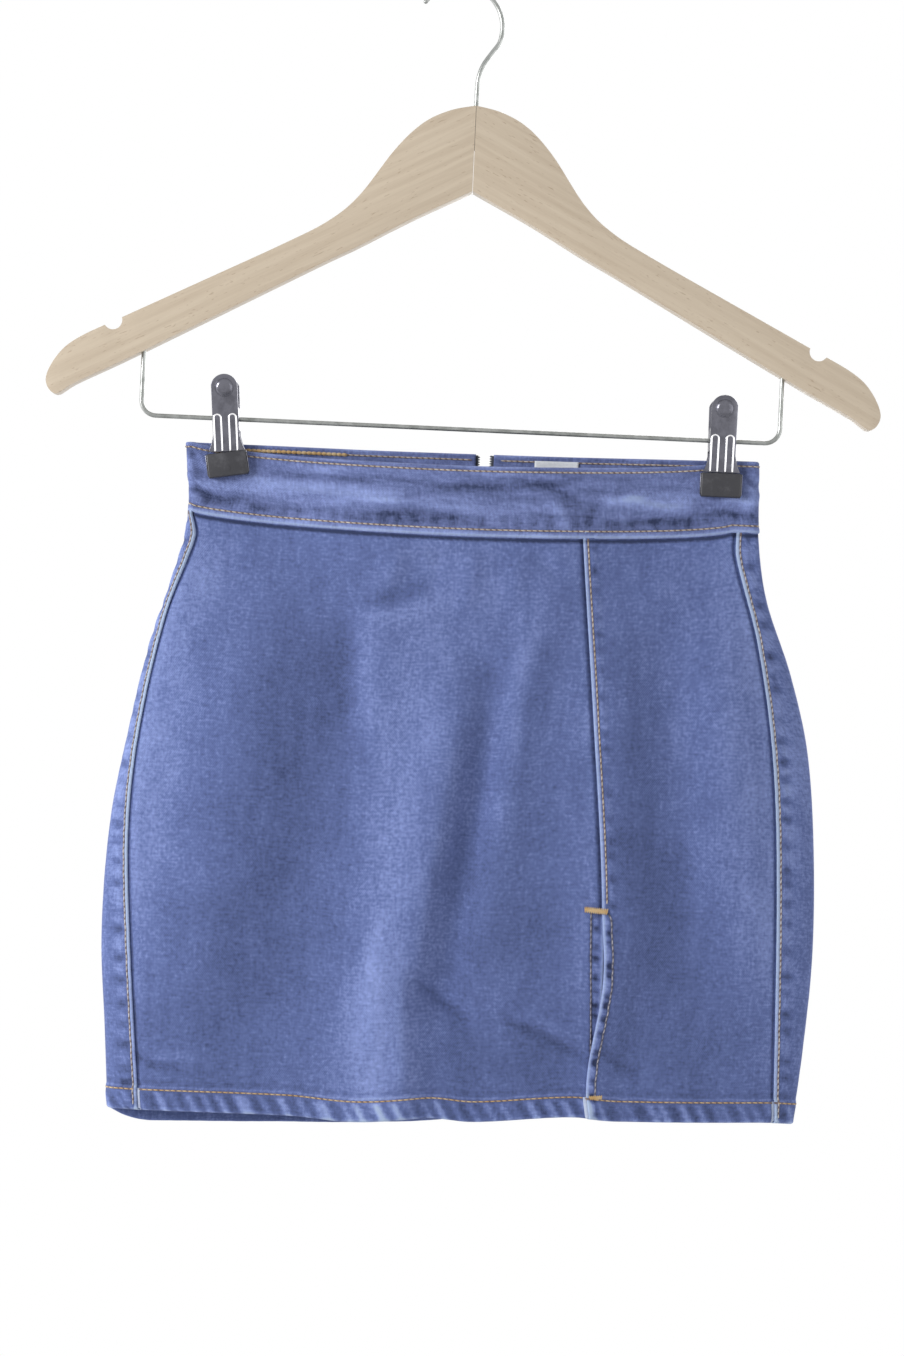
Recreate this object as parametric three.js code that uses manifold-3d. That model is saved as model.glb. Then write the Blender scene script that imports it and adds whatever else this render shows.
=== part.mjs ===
// A denim mini skirt hanging from a wooden clip hanger, in millimetres, +Z up.
// The origin is the inside top of the wire hook, where the hanger rests on its rail. The front of the
// skirt faces -Y. Left and right are as seen from the front. Everything is drawn level and then swings
// a little to one side, as the hanger does because its hook stands left of the middle of the load.

import * as THREE from 'three';
import { mergeVertices } from 'three/addons/utils/BufferGeometryUtils.js';
import Module from 'manifold-3d';

const wasm = await Module();
wasm.setup();

// Driving sizes of the skirt
const swingDegrees = 2.6;
const seamGap = 0.3;
const clothWall = 1.2;
const bandProud = 0.7;
const bandWall = 2.6;
const bandTop = -247.7;
const bandBottom = -285.5;
const bandEdge = 3;
const hemLine = -601.8;
const hemHeight = 12;
const hemProud = 0.6;
const hemExtraInside = 1.0;
const seamRidge = 0.7;
const seamRidgeWidth = 6;
const ridgeFall = 1.5;
const foldStops = [1.4, 3.6];
const seamStops = [seamRidgeWidth, seamRidgeWidth + ridgeFall];
const wrapStops = [1.5, 3, 4.5, ...seamStops, 10, 13, 16, 20, 25];
const pinchHalf = 2.2;
const pinchReach = 13;
const pinchOpens = 80;
const pinchTop = -268;
const pinchLow = -385;
const lensPower = 0.77;
const frontWaistSag = 8.2;
const backWaistSag = 0.6;
const sagShape = 0.6;
const sagLeftOfClip = 16;
const sagRightOfClip = 6;
const sagLow = -480;
const backHemDrop = { left: 8, right: 1, from: -60, to: 90 };
const roundedBy = 0.5;
const slitTop = -489;
const slitLap = 3;
const slitLapLift = 3.9;
const slitLiftFull = -524;
const slitLapFull = -580;
const slitLapWidth = 24;

// Driving sizes of the back zip and the label
const zipMiddle = 24.7;
const zipTapeWidth = 1.9;
const zipTapeOut = -0.1;
const zipTapeThick = 1.0;
const zipBottom = -418;
const sliderHeight = -292;
const zipStop = { width: 3.8, thick: 1.2, height: 2.6, aboveEnd: 3 };
const labelLeft = 52;
const labelRight = 76;
const labelTop = -250.3;
const labelBottom = -266;
const labelThick = 0.8;

// Driving sizes of the hanger
const hangerMiddle = 11.6;
const armThick = 12;
const armEdge = 2.2;
const wireRadius = 1.2;
const holeRadius = 1.6;
const hookRadius = 22.7;
const hookTipDegrees = 146;
const hookEndDegrees = -4;
const hookStepDegrees = 15;
const shankTop = -58;
const shankBottom = -88;
const aboveArms = -50;
const belowArms = -230;
const barMiddle = 10.8;
const barHalf = 170.5;
const barHeight = -236;
const barCorner = 8;
const legTop = -190;
const notchReach = 188;
const notchRadius = 5;
const notchHeight = -186.6;
const clipPlaces = [
  { name: 'left', x: -114.0, z: -236.8, leanDegrees: -4.7 },
  { name: 'right', x: 150.7, z: -236, leanDegrees: 0 },
];

// Sections of the skirt from the top edge down: where the silhouette stands on each side, how deep
// the front and the back bulge, and how far the right end of the section stands above the left one.
const sections = [
  { height: -247, left: -134.7, right: 170.5, front: 12, back: 9, rise: 3.1 },
  { height: -285, left: -131.8, right: 172.2, front: 15, back: 12, rise: 1.6 },
  { height: -320, left: -138.7, right: 178.0, front: 18, back: 16, rise: 2.0 },
  { height: -360, left: -150.6, right: 192.7, front: 21, back: 19, rise: 2.6 },
  { height: -400, left: -158.4, right: 203.4, front: 22, back: 21, rise: 3.2 },
  { height: -450, left: -166.2, right: 209.1, front: 22, back: 21, rise: 4.0 },
  { height: -510, left: -168.2, right: 211.2, front: 21, back: 20, rise: 5.2 },
  { height: -560, left: -164.2, right: 208.5, front: 20, back: 19, rise: 6.6 },
  { height: -604, left: -160.7, right: 204.4, front: 19, back: 18, rise: 7.6 },
];

// Where the seams of the front stand, from the waistband to the hem.
const leftSeamRows = [
  { height: -286, x: -129.6 },
  { height: -298, x: -127.4 },
  { height: -340, x: -140.8 },
  { height: -402, x: -152.1 },
  { height: -450, x: -155.4 },
  { height: -500, x: -152.8 },
  { height: -604, x: -143.0 },
];
const rightSeamRows = [
  { height: -286, x: 160.2 },
  { height: -298, x: 160.6 },
  { height: -343, x: 173.3 },
  { height: -405, x: 184.0 },
  { height: -469, x: 189.0 },
  { height: -604, x: 193.5 },
];
const panelSeamRows = [
  { height: -286, x: 78.4 },
  { height: -391, x: 88.2 },
  { height: -481, x: 96.3 },
  { height: -530, x: 97.4 },
  { height: -586, x: 94.2 },
  { height: -604, x: 96.7 },
];

// How far the front hem drops below its straight line, across the skirt.
const frontHemRows = [
  { x: -160, drop: 0 },
  { x: -66, drop: 0.2 },
  { x: -30, drop: 2.4 },
  { x: 10, drop: -0.6 },
  { x: 34, drop: 1 },
  { x: 85, drop: -2.6 },
  { x: 112, drop: -0.9 },
  { x: 204, drop: -1.4 },
];

// Half the distance between the two back edges at the zip.
const zipOpenRows = [
  { height: -247, x: 4.8 },
  { height: -287, x: 4.8 },
  { height: -297, x: 2.35 },
  { height: -420, x: 2.35 },
  { height: -428, x: 0.15 },
];

// The large folds. A row is one fold: it runs from top to low through three places across the skirt,
// its flanks fall away to the left and the right, and high is how far it stands out, or in below 0.
const frontFolds = [
  { top: -300, low: -600, xTop: -92, xMid: -106, xLow: -140, left: 36, right: 36, high: 5 },
  { top: -296, low: -600, xTop: -48, xMid: -58, xLow: -84, left: 30, right: 26, high: -4.5 },
  { top: -325, low: -660, xTop: 34, xMid: 3, xLow: -6, left: 26, right: 12, high: 7 },
  { top: -350, low: -570, xTop: 33, xMid: 22, xLow: 5, left: 10, right: 13, high: -4.5 },
  { top: -300, low: -550, xTop: 60, xMid: 43, xLow: 36, left: 12, right: 14, high: 3.5 },
  { top: -300, low: -560, xTop: 92, xMid: 102, xLow: 110, left: 24, right: 18, high: 3 },
  { top: -310, low: -575, xTop: 122, xMid: 136, xLow: 146, left: 20, right: 18, high: -5 },
  { top: -310, low: -540, xTop: 158, xMid: 170, xLow: 182, left: 22, right: 14, high: 3 },
  { top: -518, low: -590, xTop: -8, xMid: 36, xLow: 90, left: 11, right: 11, high: -2.6 },
];
const backFolds = [
  { top: -310, low: -660, xTop: -74, xMid: -62, xLow: -66, left: 22, right: 30, high: 5 },
  { top: -330, low: -660, xTop: 66, xMid: 54, xLow: 58, left: 28, right: 20, high: 5.5 },
  { top: -430, low: -660, xTop: -12, xMid: -2, xLow: 6, left: 16, right: 20, high: -4 },
  { top: -300, low: -500, xTop: 118, xMid: 108, xLow: 98, left: 18, right: 24, high: -3.5 },
  { top: -300, low: -500, xTop: -104, xMid: -112, xLow: -116, left: 16, right: 18, high: -3 },
];

// One arm of the hanger, out from the middle.
const armRows = [
  { reach: 0, top: -64, bottom: -109.5 },
  { reach: 14, top: -67.2, bottom: -116.6 },
  { reach: 28, top: -74.6, bottom: -123.8 },
  { reach: 42, top: -89, bottom: -131.5 },
  { reach: 60, top: -114.4, bottom: -141.8 },
  { reach: 76, top: -128.8, bottom: -150.2 },
  { reach: 100, top: -142.4, bottom: -163.3 },
  { reach: 140, top: -162.9, bottom: -185.2 },
  { reach: 180, top: -183.3, bottom: -206.9 },
  { reach: 206, top: -196.8, bottom: -220.4 },
  { reach: 217, top: -207, bottom: -227 },
];
const armTip = { reach: 222.3, height: -219.5 };

// The hook below its round bow, down to the straight shank.
const hookNeck = [
  { x: 22.4, z: -29 },
  { x: 18.6, z: -34.6 },
  { x: 14.2, z: -41.5 },
  { x: 12.0, z: -49 },
];

const denim = new THREE.MeshStandardMaterial({ color: 0x5e6ca0, roughness: 0.9, metalness: 0 });
const denimBand = new THREE.MeshStandardMaterial({ color: 0x7380b0, roughness: 0.9, metalness: 0 });
const labelCloth = new THREE.MeshStandardMaterial({ color: 0xdadfe5, roughness: 0.7, metalness: 0 });
const zipCloth = new THREE.MeshStandardMaterial({ color: 0x23273a, roughness: 0.85, metalness: 0 });
const zipMetal = new THREE.MeshStandardMaterial({ color: 0x8c8f96, roughness: 0.35, metalness: 1 });
const wood = new THREE.MeshStandardMaterial({ color: 0xc8b49a, roughness: 0.55, metalness: 0 });
const wire = new THREE.MeshStandardMaterial({ color: 0xb4b7bd, roughness: 0.25, metalness: 1 });
const clipMetal = new THREE.MeshStandardMaterial({ color: 0x8a8c9c, roughness: 0.3, metalness: 1 });
const clipRubber = new THREE.MeshStandardMaterial({ color: 0x45454e, roughness: 0.8, metalness: 0 });

function radians(degrees) {
  return degrees * Math.PI / 180;
}

function blend(from, to, share) {
  return from + (to - from) * share;
}

// 0 below from, 1 above to, smooth between.
function ease(from, to, value) {
  const share = Math.min(1, Math.max(0, (value - from) / (to - from)));
  return share * share * (3 - 2 * share);
}

// Reads one column of a table, smooth between its rows and level past its ends.
function reader(rows, key, column) {
  const sorted = [...rows].sort((a, b) => a[key] - b[key]);
  const slope = (i) => {
    const before = sorted[Math.max(0, i - 1)];
    const after = sorted[Math.min(sorted.length - 1, i + 1)];
    return (after[column] - before[column]) / (after[key] - before[key]);
  };
  return (at) => {
    if (at <= sorted[0][key]) return sorted[0][column];
    const next = sorted.findIndex((row) => row[key] > at);
    if (next < 0) return sorted.at(-1)[column];
    const low = sorted[next - 1];
    const high = sorted[next];
    const span = high[key] - low[key];
    const t = (at - low[key]) / span;
    const bend = t * t * (3 - 2 * t);
    const start = t * (1 - t) * (1 - t) * span * slope(next - 1);
    const end = t * t * (1 - t) * span * slope(next);
    return blend(low[column], high[column], bend) + start - end;
  };
}

const leftEdge = reader(sections, 'height', 'left');
const rightEdge = reader(sections, 'height', 'right');
const frontDepth = reader(sections, 'height', 'front');
const backDepth = reader(sections, 'height', 'back');
const rightRise = reader(sections, 'height', 'rise');
const leftSeam = reader(leftSeamRows, 'height', 'x');
const rightSeam = reader(rightSeamRows, 'height', 'x');
const panelSeam = reader(panelSeamRows, 'height', 'x');
const frontHemDrop = reader(frontHemRows, 'x', 'drop');

function zipOpen(height) {
  const next = zipOpenRows.findIndex((row) => row.height < height);
  if (next < 0) return zipOpenRows.at(-1).x;
  if (next === 0) return zipOpenRows[0].x;
  const above = zipOpenRows[next - 1];
  const below = zipOpenRows[next];
  return blend(above.x, below.x, (above.height - height) / (above.height - below.height));
}

function foldHeight(folds, x, height) {
  let sum = 0;
  for (const fold of folds) {
    const along = (fold.top - height) / (fold.top - fold.low);
    if (along <= 0 || along >= 1) continue;
    const middle = (1 - along) * (1 - 2 * along) * fold.xTop + 4 * along * (1 - along) * fold.xMid
      + along * (2 * along - 1) * fold.xLow;
    const lean = (fold.xLow - fold.xTop) / (fold.low - fold.top);
    const away = (x - middle) / Math.hypot(1, lean);
    const flank = away < 0 ? fold.left : fold.right;
    const length = ease(0, 0.25, along) * (1 - ease(0.75, 1, along));
    sum += fold.high * length * Math.exp(-away * away / (flank * flank));
  }
  return sum;
}

// How open the skirt stands, from 0 where the clips press it flat to 1 where it hangs free.
function openness(x, height) {
  const inner = Math.min(x - clipPlaces[0].x, clipPlaces[1].x - x) - pinchReach;
  const pressed = ease(pinchLow, pinchTop, height);
  return 1 - pressed * (1 - ease(0, pinchOpens, inner));
}

// How far a point drops: the waist sags between the clips, and the back hem hangs lower on one side.
function sagging(x, height, isFront, round) {
  const start = clipPlaces[0].x - sagLeftOfClip;
  const span = clipPlaces[1].x + sagRightOfClip - start;
  const share = Math.min(1, Math.max(0, (x - start) / span));
  const waistSag = (isFront ? frontWaistSag : backWaistSag) * Math.sin(Math.PI * share) ** sagShape;
  const backHem = blend(backHemDrop.left, backHemDrop.right, ease(backHemDrop.from, backHemDrop.to, x));
  const hemDrop = (isFront ? frontHemDrop(x) : backHem) * ease(0, roundedBy, round);
  return blend(hemDrop, waistSag, ease(sagLow, bandBottom, height));
}

// A point of the cloth. The angle goes round the section from the left silhouette over the front to
// the right one, and on over the back; out moves the point off the cloth's face.
function clothPoint(angle, height, out) {
  const middle = (leftEdge(height) + rightEdge(height)) / 2;
  const reach = (rightEdge(height) - leftEdge(height)) / 2;
  const across = -Math.cos(angle);
  const isFront = Math.sin(angle) >= 0;
  const round = Math.abs(Math.sin(angle));
  const x = middle + (reach + out) * across;
  const faceX = middle + reach * across;
  const depth = isFront ? frontDepth(height) : backDepth(height);
  const free = (depth + out) * round ** lensPower;
  const thin = Math.max(0.05, pinchHalf + out);
  const past = Math.max(0, Math.abs(x - middle) - (reach + out - thin)) / thin;
  const pressed = thin * Math.sqrt(Math.max(0, 1 - past * past));
  const folds = foldHeight(isFront ? frontFolds : backFolds, faceX, height) * Math.sqrt(round);
  const y = blend(pressed, free, openness(faceX, height)) + folds;
  const z = height + rightRise(height) * across / 2 - sagging(faceX, height, isFront, round);
  return new THREE.Vector3(x, isFront ? -y : y, z);
}

// The angle at which the front or the back of a section passes a place across the skirt.
function frontAngle(x, height) {
  const middle = (leftEdge(height) + rightEdge(height)) / 2;
  const reach = (rightEdge(height) - leftEdge(height)) / 2;
  return Math.acos((middle - x) / reach);
}

function backAngle(x, height) {
  return 2 * Math.PI - frontAngle(x, height);
}

// Stops between two edges at one height: the angle and the distance along the cloth of each.
function stopsAlong(start, end, height, stopsOf) {
  const steps = 160;
  const lengths = [0];
  let last = clothPoint(start, height, 0);
  for (let i = 1; i <= steps; i++) {
    const next = clothPoint(blend(start, end, i / steps), height, 0);
    lengths.push(lengths[i - 1] + next.distanceTo(last));
    last = next;
  }
  const total = lengths[steps];
  return stopsOf(total).map((stop) => {
    const i = Math.min(steps, Math.max(1, lengths.findIndex((length) => length >= stop - 1e-9)));
    const share = (stop - lengths[i - 1]) / (lengths[i] - lengths[i - 1]);
    return { angle: blend(start, end, (i - 1 + share) / steps), stop, fromEnd: total - stop };
  });
}

// Stops with given places near the first and the last edge, and evenly between those.
function stopsWith(near, far, columns) {
  return (total) => {
    const from = near.at(-1) ?? 0;
    const to = total - (far.at(-1) ?? 0);
    const even = Array.from({ length: columns - 1 }, (unused, i) => blend(from, to, (i + 1) / columns));
    const ends = [...far].reverse().map((stop) => total - stop);
    return [0, ...near, ...even, ...ends, total];
  };
}

// A closed wall between an outer and an inner grid of points, rows by columns.
function wallGeometry(outer, inner) {
  const rows = outer.length;
  const columns = outer[0].length;
  const positions = [...outer.flat(), ...inner.flat()].flatMap((point) => point.toArray());
  const index = [];
  const at = (layer, row, column) => (layer * rows + row) * columns + column;
  const quad = (a, b, c, d) => index.push(a, b, c, a, c, d);
  for (let r = 0; r < rows - 1; r++) {
    for (let c = 0; c < columns - 1; c++) {
      quad(at(0, r, c), at(0, r + 1, c), at(0, r + 1, c + 1), at(0, r, c + 1));
      quad(at(1, r, c), at(1, r, c + 1), at(1, r + 1, c + 1), at(1, r + 1, c));
    }
    quad(at(0, r, 0), at(1, r, 0), at(1, r + 1, 0), at(0, r + 1, 0));
    quad(at(0, r, columns - 1), at(0, r + 1, columns - 1), at(1, r + 1, columns - 1), at(1, r, columns - 1));
  }
  for (let c = 0; c < columns - 1; c++) {
    quad(at(0, 0, c), at(0, 0, c + 1), at(1, 0, c + 1), at(1, 0, c));
    quad(at(0, rows - 1, c), at(1, rows - 1, c), at(1, rows - 1, c + 1), at(0, rows - 1, c + 1));
  }
  const geometry = new THREE.BufferGeometry();
  geometry.setAttribute('position', new THREE.Float32BufferAttribute(positions, 3));
  geometry.setIndex(index);
  return geometry;
}

function piece(name, geometry, material) {
  const mesh = new THREE.Mesh(geometry, material);
  mesh.name = name;
  return mesh;
}

// Heights of a panel's rows, from the waistband to the hem, with the turned-up hem's own edge.
function panelHeights(rows) {
  const top = bandBottom - seamGap / 2;
  const low = hemLine + hemHeight + ridgeFall;
  const heights = [];
  for (let i = 0; i < rows; i++) heights.push(blend(top, low, i / (rows - 1)));
  heights.push(hemLine + hemHeight, hemLine + seamGap, hemLine);
  return heights;
}

// A panel of the skirt between two edges. Each edge gives its angle at a height and how proud its
// seam stands there; lift moves the first edge off the panel that it laps.
function clothPanel(name, first, second, columns, rows, lift = () => 0) {
  const outer = [];
  const inner = [];
  for (const height of panelHeights(rows)) {
    const isHem = height <= hemLine + hemHeight;
    const stopsOf = stopsWith(first.stops, second.stops, columns);
    const stops = stopsAlong(first.angle(height), second.angle(height), height, stopsOf);
    const outerRow = [];
    const innerRow = [];
    stops.forEach(({ angle, stop, fromEnd }) => {
      const onRidge = (distance) => distance <= seamRidgeWidth + 1e-6;
      const ridge = onRidge(stop) ? first.proud(height) : onRidge(fromEnd) ? second.proud(height) : 0;
      const raised = lift(height) * (1 - ease(slitLap + 1, slitLapWidth, stop));
      const atEdge = height === hemLine ? 0.5 : 0;
      const proud = Math.max(ridge, isHem ? hemProud : 0) * (1 - atEdge);
      const inside = clothWall + (isHem ? hemExtraInside * (1 - atEdge) : 0);
      outerRow.push(clothPoint(angle, height, proud + raised));
      innerRow.push(clothPoint(angle, height, raised - inside));
    });
    outer.push(outerRow);
    inner.push(innerRow);
  }
  return piece(name, wallGeometry(outer, inner), denim);
}

const plain = () => 0;
const ridged = () => seamRidge;
const slitRidged = (height) => (height < slitTop ? seamRidge : 0);
const halfGap = seamGap / 2;

// The slit's right edge lifts below the slit's top and then laps the left edge towards the hem.
function lapLift(height) {
  return slitLapLift * (1 - ease(slitLiftFull, slitTop, height));
}

function lapReach(height) {
  return slitLap * (1 - ease(slitLapFull, slitLiftFull - 2, height));
}

function waistband() {
  const middle = (bandTop + bandBottom) / 2;
  const heights = [bandTop, bandTop - bandEdge, middle, bandBottom + bandEdge, bandBottom + halfGap];
  const outer = [];
  const inner = [];
  for (const height of heights) {
    const start = backAngle(zipMiddle - zipOpen(height), height) - 2 * Math.PI;
    const end = backAngle(zipMiddle + zipOpen(height), height);
    const stops = [
      ...stopsAlong(start, 0, height, stopsWith([], foldStops, 14)),
      ...stopsAlong(0, Math.PI, height, stopsWith(foldStops, foldStops, 26)).slice(1),
      ...stopsAlong(Math.PI, end, height, stopsWith(foldStops, [], 14)).slice(1),
    ];
    outer.push(stops.map(({ angle }) => clothPoint(angle, height, bandProud)));
    inner.push(stops.map(({ angle }) => clothPoint(angle, height, bandProud - bandWall)));
  }
  return piece('waistband', wallGeometry(outer, inner), denimBand);
}

function skirtPanels() {
  const leftEdgeOf = (offset, proud, stops) => ({
    angle: (height) => frontAngle(leftSeam(height) + offset, height),
    proud,
    stops,
  });
  const rightEdgeOf = (offset, proud, stops) => ({
    angle: (height) => frontAngle(rightSeam(height) + offset, height),
    proud,
    stops,
  });
  const frontInner = {
    angle: (height) => frontAngle(panelSeam(height) - halfGap, height),
    proud: slitRidged,
    stops: seamStops,
  };
  const sideInner = {
    angle: (height) => frontAngle(panelSeam(height) + halfGap - lapReach(height), height),
    proud: ridged,
    stops: seamStops,
  };
  const backRightInner = {
    angle: (height) => backAngle(zipMiddle + zipOpen(height), height),
    proud: plain,
    stops: [],
  };
  const backLeftInner = {
    angle: (height) => backAngle(zipMiddle - zipOpen(height), height) - 2 * Math.PI,
    proud: plain,
    stops: [],
  };
  return [
    clothPanel('front_panel', leftEdgeOf(halfGap, plain, seamStops), frontInner, 25, 17),
    clothPanel('side_front_panel', sideInner, rightEdgeOf(-halfGap, plain, seamStops), 9, 17, lapLift),
    clothPanel('back_panel_right', rightEdgeOf(halfGap, ridged, wrapStops), backRightInner, 14, 17),
    clothPanel('back_panel_left', backLeftInner, leftEdgeOf(-halfGap, ridged, wrapStops), 15, 17),
  ];
}

// A flat strip that follows the inside or the gap of the back, between two places across it.
function backStrip(name, heights, placesAt, out, thick, material) {
  const row = (height, offset) => placesAt(height).map((x) => clothPoint(backAngle(x, height), height, offset));
  const outer = heights.map((height) => row(height, out));
  const inner = heights.map((height) => row(height, out - thick));
  return piece(name, wallGeometry(outer, inner), material);
}

function zipTapes() {
  const steps = 17;
  const heights = Array.from({ length: steps + 1 }, (unused, i) => blend(bandTop + 1, zipBottom, i / steps));
  const sides = [
    { name: 'zip_tape_left', sign: -1 },
    { name: 'zip_tape_right', sign: 1 },
  ];
  return sides.map(({ name, sign }) => {
    const placesAt = (height) => {
      const far = zipOpen(height) - seamGap;
      const places = [zipMiddle + sign * far, zipMiddle + sign * (far - zipTapeWidth)];
      return sign > 0 ? places : places.reverse();
    };
    return backStrip(name, heights, placesAt, zipTapeOut, zipTapeThick, zipCloth);
  });
}

function innerLabel() {
  const heights = [labelTop, blend(labelTop, labelBottom, 0.5), labelBottom];
  const placesAt = () => [labelRight, blend(labelRight, labelLeft, 0.5), labelLeft];
  const out = bandProud - bandWall - seamGap;
  return backStrip('inner_label', heights, placesAt, out, labelThick, labelCloth);
}

// A solid for the boolean cuts and joins, with the mesh's own place put into its points.
function solidOf(mesh) {
  mesh.updateMatrix();
  let geometry = mesh.geometry.clone();
  geometry.deleteAttribute('normal');
  geometry.deleteAttribute('uv');
  geometry.clearGroups();
  geometry = mergeVertices(geometry, 1e-4).applyMatrix4(mesh.matrix);
  return new wasm.Manifold(new wasm.Mesh({
    numProp: 3,
    vertProperties: new Float32Array(geometry.attributes.position.array),
    triVerts: new Uint32Array(geometry.index.array),
  }));
}

function geometryOf(solid) {
  const mesh = solid.getMesh();
  const geometry = new THREE.BufferGeometry();
  const positions = [];
  for (let i = 0; i < mesh.vertProperties.length; i += mesh.numProp) {
    positions.push(...mesh.vertProperties.slice(i, i + 3));
  }
  geometry.setAttribute('position', new THREE.Float32BufferAttribute(positions, 3));
  geometry.setIndex([...mesh.triVerts]);
  return geometry;
}

function joined(meshes) {
  return geometryOf(meshes.map(solidOf).reduce((whole, next) => whole.add(next)));
}

function block(width, depth, height, x, y, z) {
  const mesh = new THREE.Mesh(new THREE.BoxGeometry(width, depth, height));
  mesh.position.set(x, y, z);
  return mesh;
}

function rod(radius, length, sides, x, y, z) {
  const mesh = new THREE.Mesh(new THREE.CylinderGeometry(radius, radius, length, sides));
  mesh.rotation.z = Math.PI / 2;
  mesh.position.set(x, y, z);
  return mesh;
}

// The slider and its tab, drawn on the zip's face: X across, Y out of the cloth, Z up along it.
const slider = { width: 7.4, length: 10, outerFace: 0.5, plate: 1.2, innerFace: -1.5, innerPlate: 1.0 };
const wedge = { width: 2.8, length: 3 };
const joinDepth = 0.3;
const bridge = { width: 2.2, foot: 1.4, half: 3.3, rise: 1.9, thick: 1.0 };
const tab = { barRadius: 0.55, barHalf: 2.6, drop: 1.0, thick: 1.1, arm: 1.1, window: 5.4, length: 20 };
const tabAxisOut = slider.outerFace + slider.plate + bridge.rise / 2;

function zipSlider() {
  const plateOut = slider.outerFace + slider.plate;
  const wedgeDepth = slider.outerFace - slider.innerFace + 2 * joinDepth;
  const footHeight = bridge.half - bridge.foot / 2;
  const footDepth = bridge.rise + 2 * joinDepth;
  const footOut = plateOut + bridge.rise / 2;
  const bridgeOut = plateOut + bridge.rise + bridge.thick / 2;
  const plateMiddle = slider.outerFace + slider.plate / 2;
  const innerMiddle = slider.innerFace - slider.innerPlate / 2;
  const wedgeMiddle = (slider.outerFace + slider.innerFace) / 2;
  return joined([
    block(slider.width, slider.plate, slider.length, 0, plateMiddle, 0),
    block(slider.width, slider.innerPlate, slider.length, 0, innerMiddle, 0),
    block(wedge.width, wedgeDepth, wedge.length, 0, wedgeMiddle, slider.length / 2 - wedge.length / 2),
    block(bridge.width, footDepth, bridge.foot, 0, footOut, footHeight),
    block(bridge.width, footDepth, bridge.foot, 0, footOut, -footHeight),
    block(bridge.width, bridge.thick, 2 * bridge.half, 0, bridgeOut, 0),
  ]);
}

function zipPullTab() {
  const armX = tab.barHalf - tab.arm / 2;
  const plateLength = tab.length - tab.window;
  return joined([
    rod(tab.barRadius, 2 * tab.barHalf, 10, 0, 0, 0),
    block(tab.arm, tab.thick, tab.window + joinDepth, armX, 0, -tab.window / 2),
    block(tab.arm, tab.thick, tab.window + joinDepth, -armX, 0, -tab.window / 2),
    block(2 * tab.barHalf, tab.thick, plateLength, 0, 0, -tab.window - plateLength / 2),
  ]);
}

function zipHardware() {
  const faceAt = (height, out) => clothPoint(backAngle(zipMiddle, height), height, out);
  const below = faceAt(sliderHeight - slider.length / 2, 0);
  const above = faceAt(sliderHeight + slider.length / 2, 0);
  const seat = new THREE.Group();
  seat.position.copy(below).add(above).multiplyScalar(0.5);
  seat.rotation.x = Math.atan2(below.y - above.y, above.z - below.z);
  seat.add(piece('zip_slider', zipSlider(), zipMetal));
  const pullTab = piece('zip_pull_tab', zipPullTab(), zipMetal);
  pullTab.position.set(0, tabAxisOut, -tab.drop);
  seat.add(pullTab);

  const stopGeometry = new THREE.BoxGeometry(zipStop.width, zipStop.thick, zipStop.height);
  const stop = piece('zip_bottom_stop', stopGeometry, zipMetal);
  stop.position.copy(faceAt(zipBottom + zipStop.aboveEnd, zipTapeOut + seamGap + zipStop.thick / 2));
  return [seat, stop];
}

function circle(radius, sides) {
  const shape = new THREE.Shape();
  for (let i = 0; i < sides; i++) {
    const angle = 2 * Math.PI * i / sides;
    const move = i === 0 ? 'moveTo' : 'lineTo';
    shape[move](radius * Math.cos(angle), radius * Math.sin(angle));
  }
  shape.closePath();
  return shape;
}

function wireAlong(name, points, steps, material) {
  const path = new THREE.CatmullRomCurve3(points, false, 'centripetal');
  const geometry = new THREE.ExtrudeGeometry(circle(wireRadius, 8), { extrudePath: path, steps });
  return piece(name, geometry, material);
}

function hangerHook() {
  const swing = radians(swingDegrees);
  const centreDrop = hookRadius - wireRadius;
  const centre = { x: centreDrop * Math.sin(swing), z: -centreDrop * Math.cos(swing) };
  const points = [];
  for (let degrees = hookTipDegrees; degrees >= hookEndDegrees; degrees -= hookStepDegrees) {
    const x = centre.x + hookRadius * Math.cos(radians(degrees));
    const z = centre.z + hookRadius * Math.sin(radians(degrees));
    points.push(new THREE.Vector3(x, 0, z));
  }
  for (const { x, z } of hookNeck) points.push(new THREE.Vector3(x, 0, z));
  points.push(new THREE.Vector3(hangerMiddle, 0, shankTop));
  points.push(new THREE.Vector3(hangerMiddle, 0, shankBottom));
  return wireAlong('hanger_hook', points, 44, wire);
}

function hangerBar() {
  const points = [];
  const side = (sign) => {
    const x = barMiddle + sign * barHalf;
    const bend = (degrees) => new THREE.Vector3(
      x - sign * barCorner * (1 - Math.cos(radians(degrees))),
      0,
      barHeight + barCorner * (1 - Math.sin(radians(degrees))),
    );
    const legMiddle = (legTop + barHeight) / 2;
    return [new THREE.Vector3(x, 0, legTop), new THREE.Vector3(x, 0, legMiddle), ...[0, 30, 60, 90].map(bend)];
  };
  points.push(...side(-1));
  points.push(...[-0.5, 0.5].map((share) => new THREE.Vector3(barMiddle + share * barHalf, 0, barHeight)));
  points.push(...side(1).reverse());
  return wireAlong('hanger_bar', points, 44, wire);
}

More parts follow.
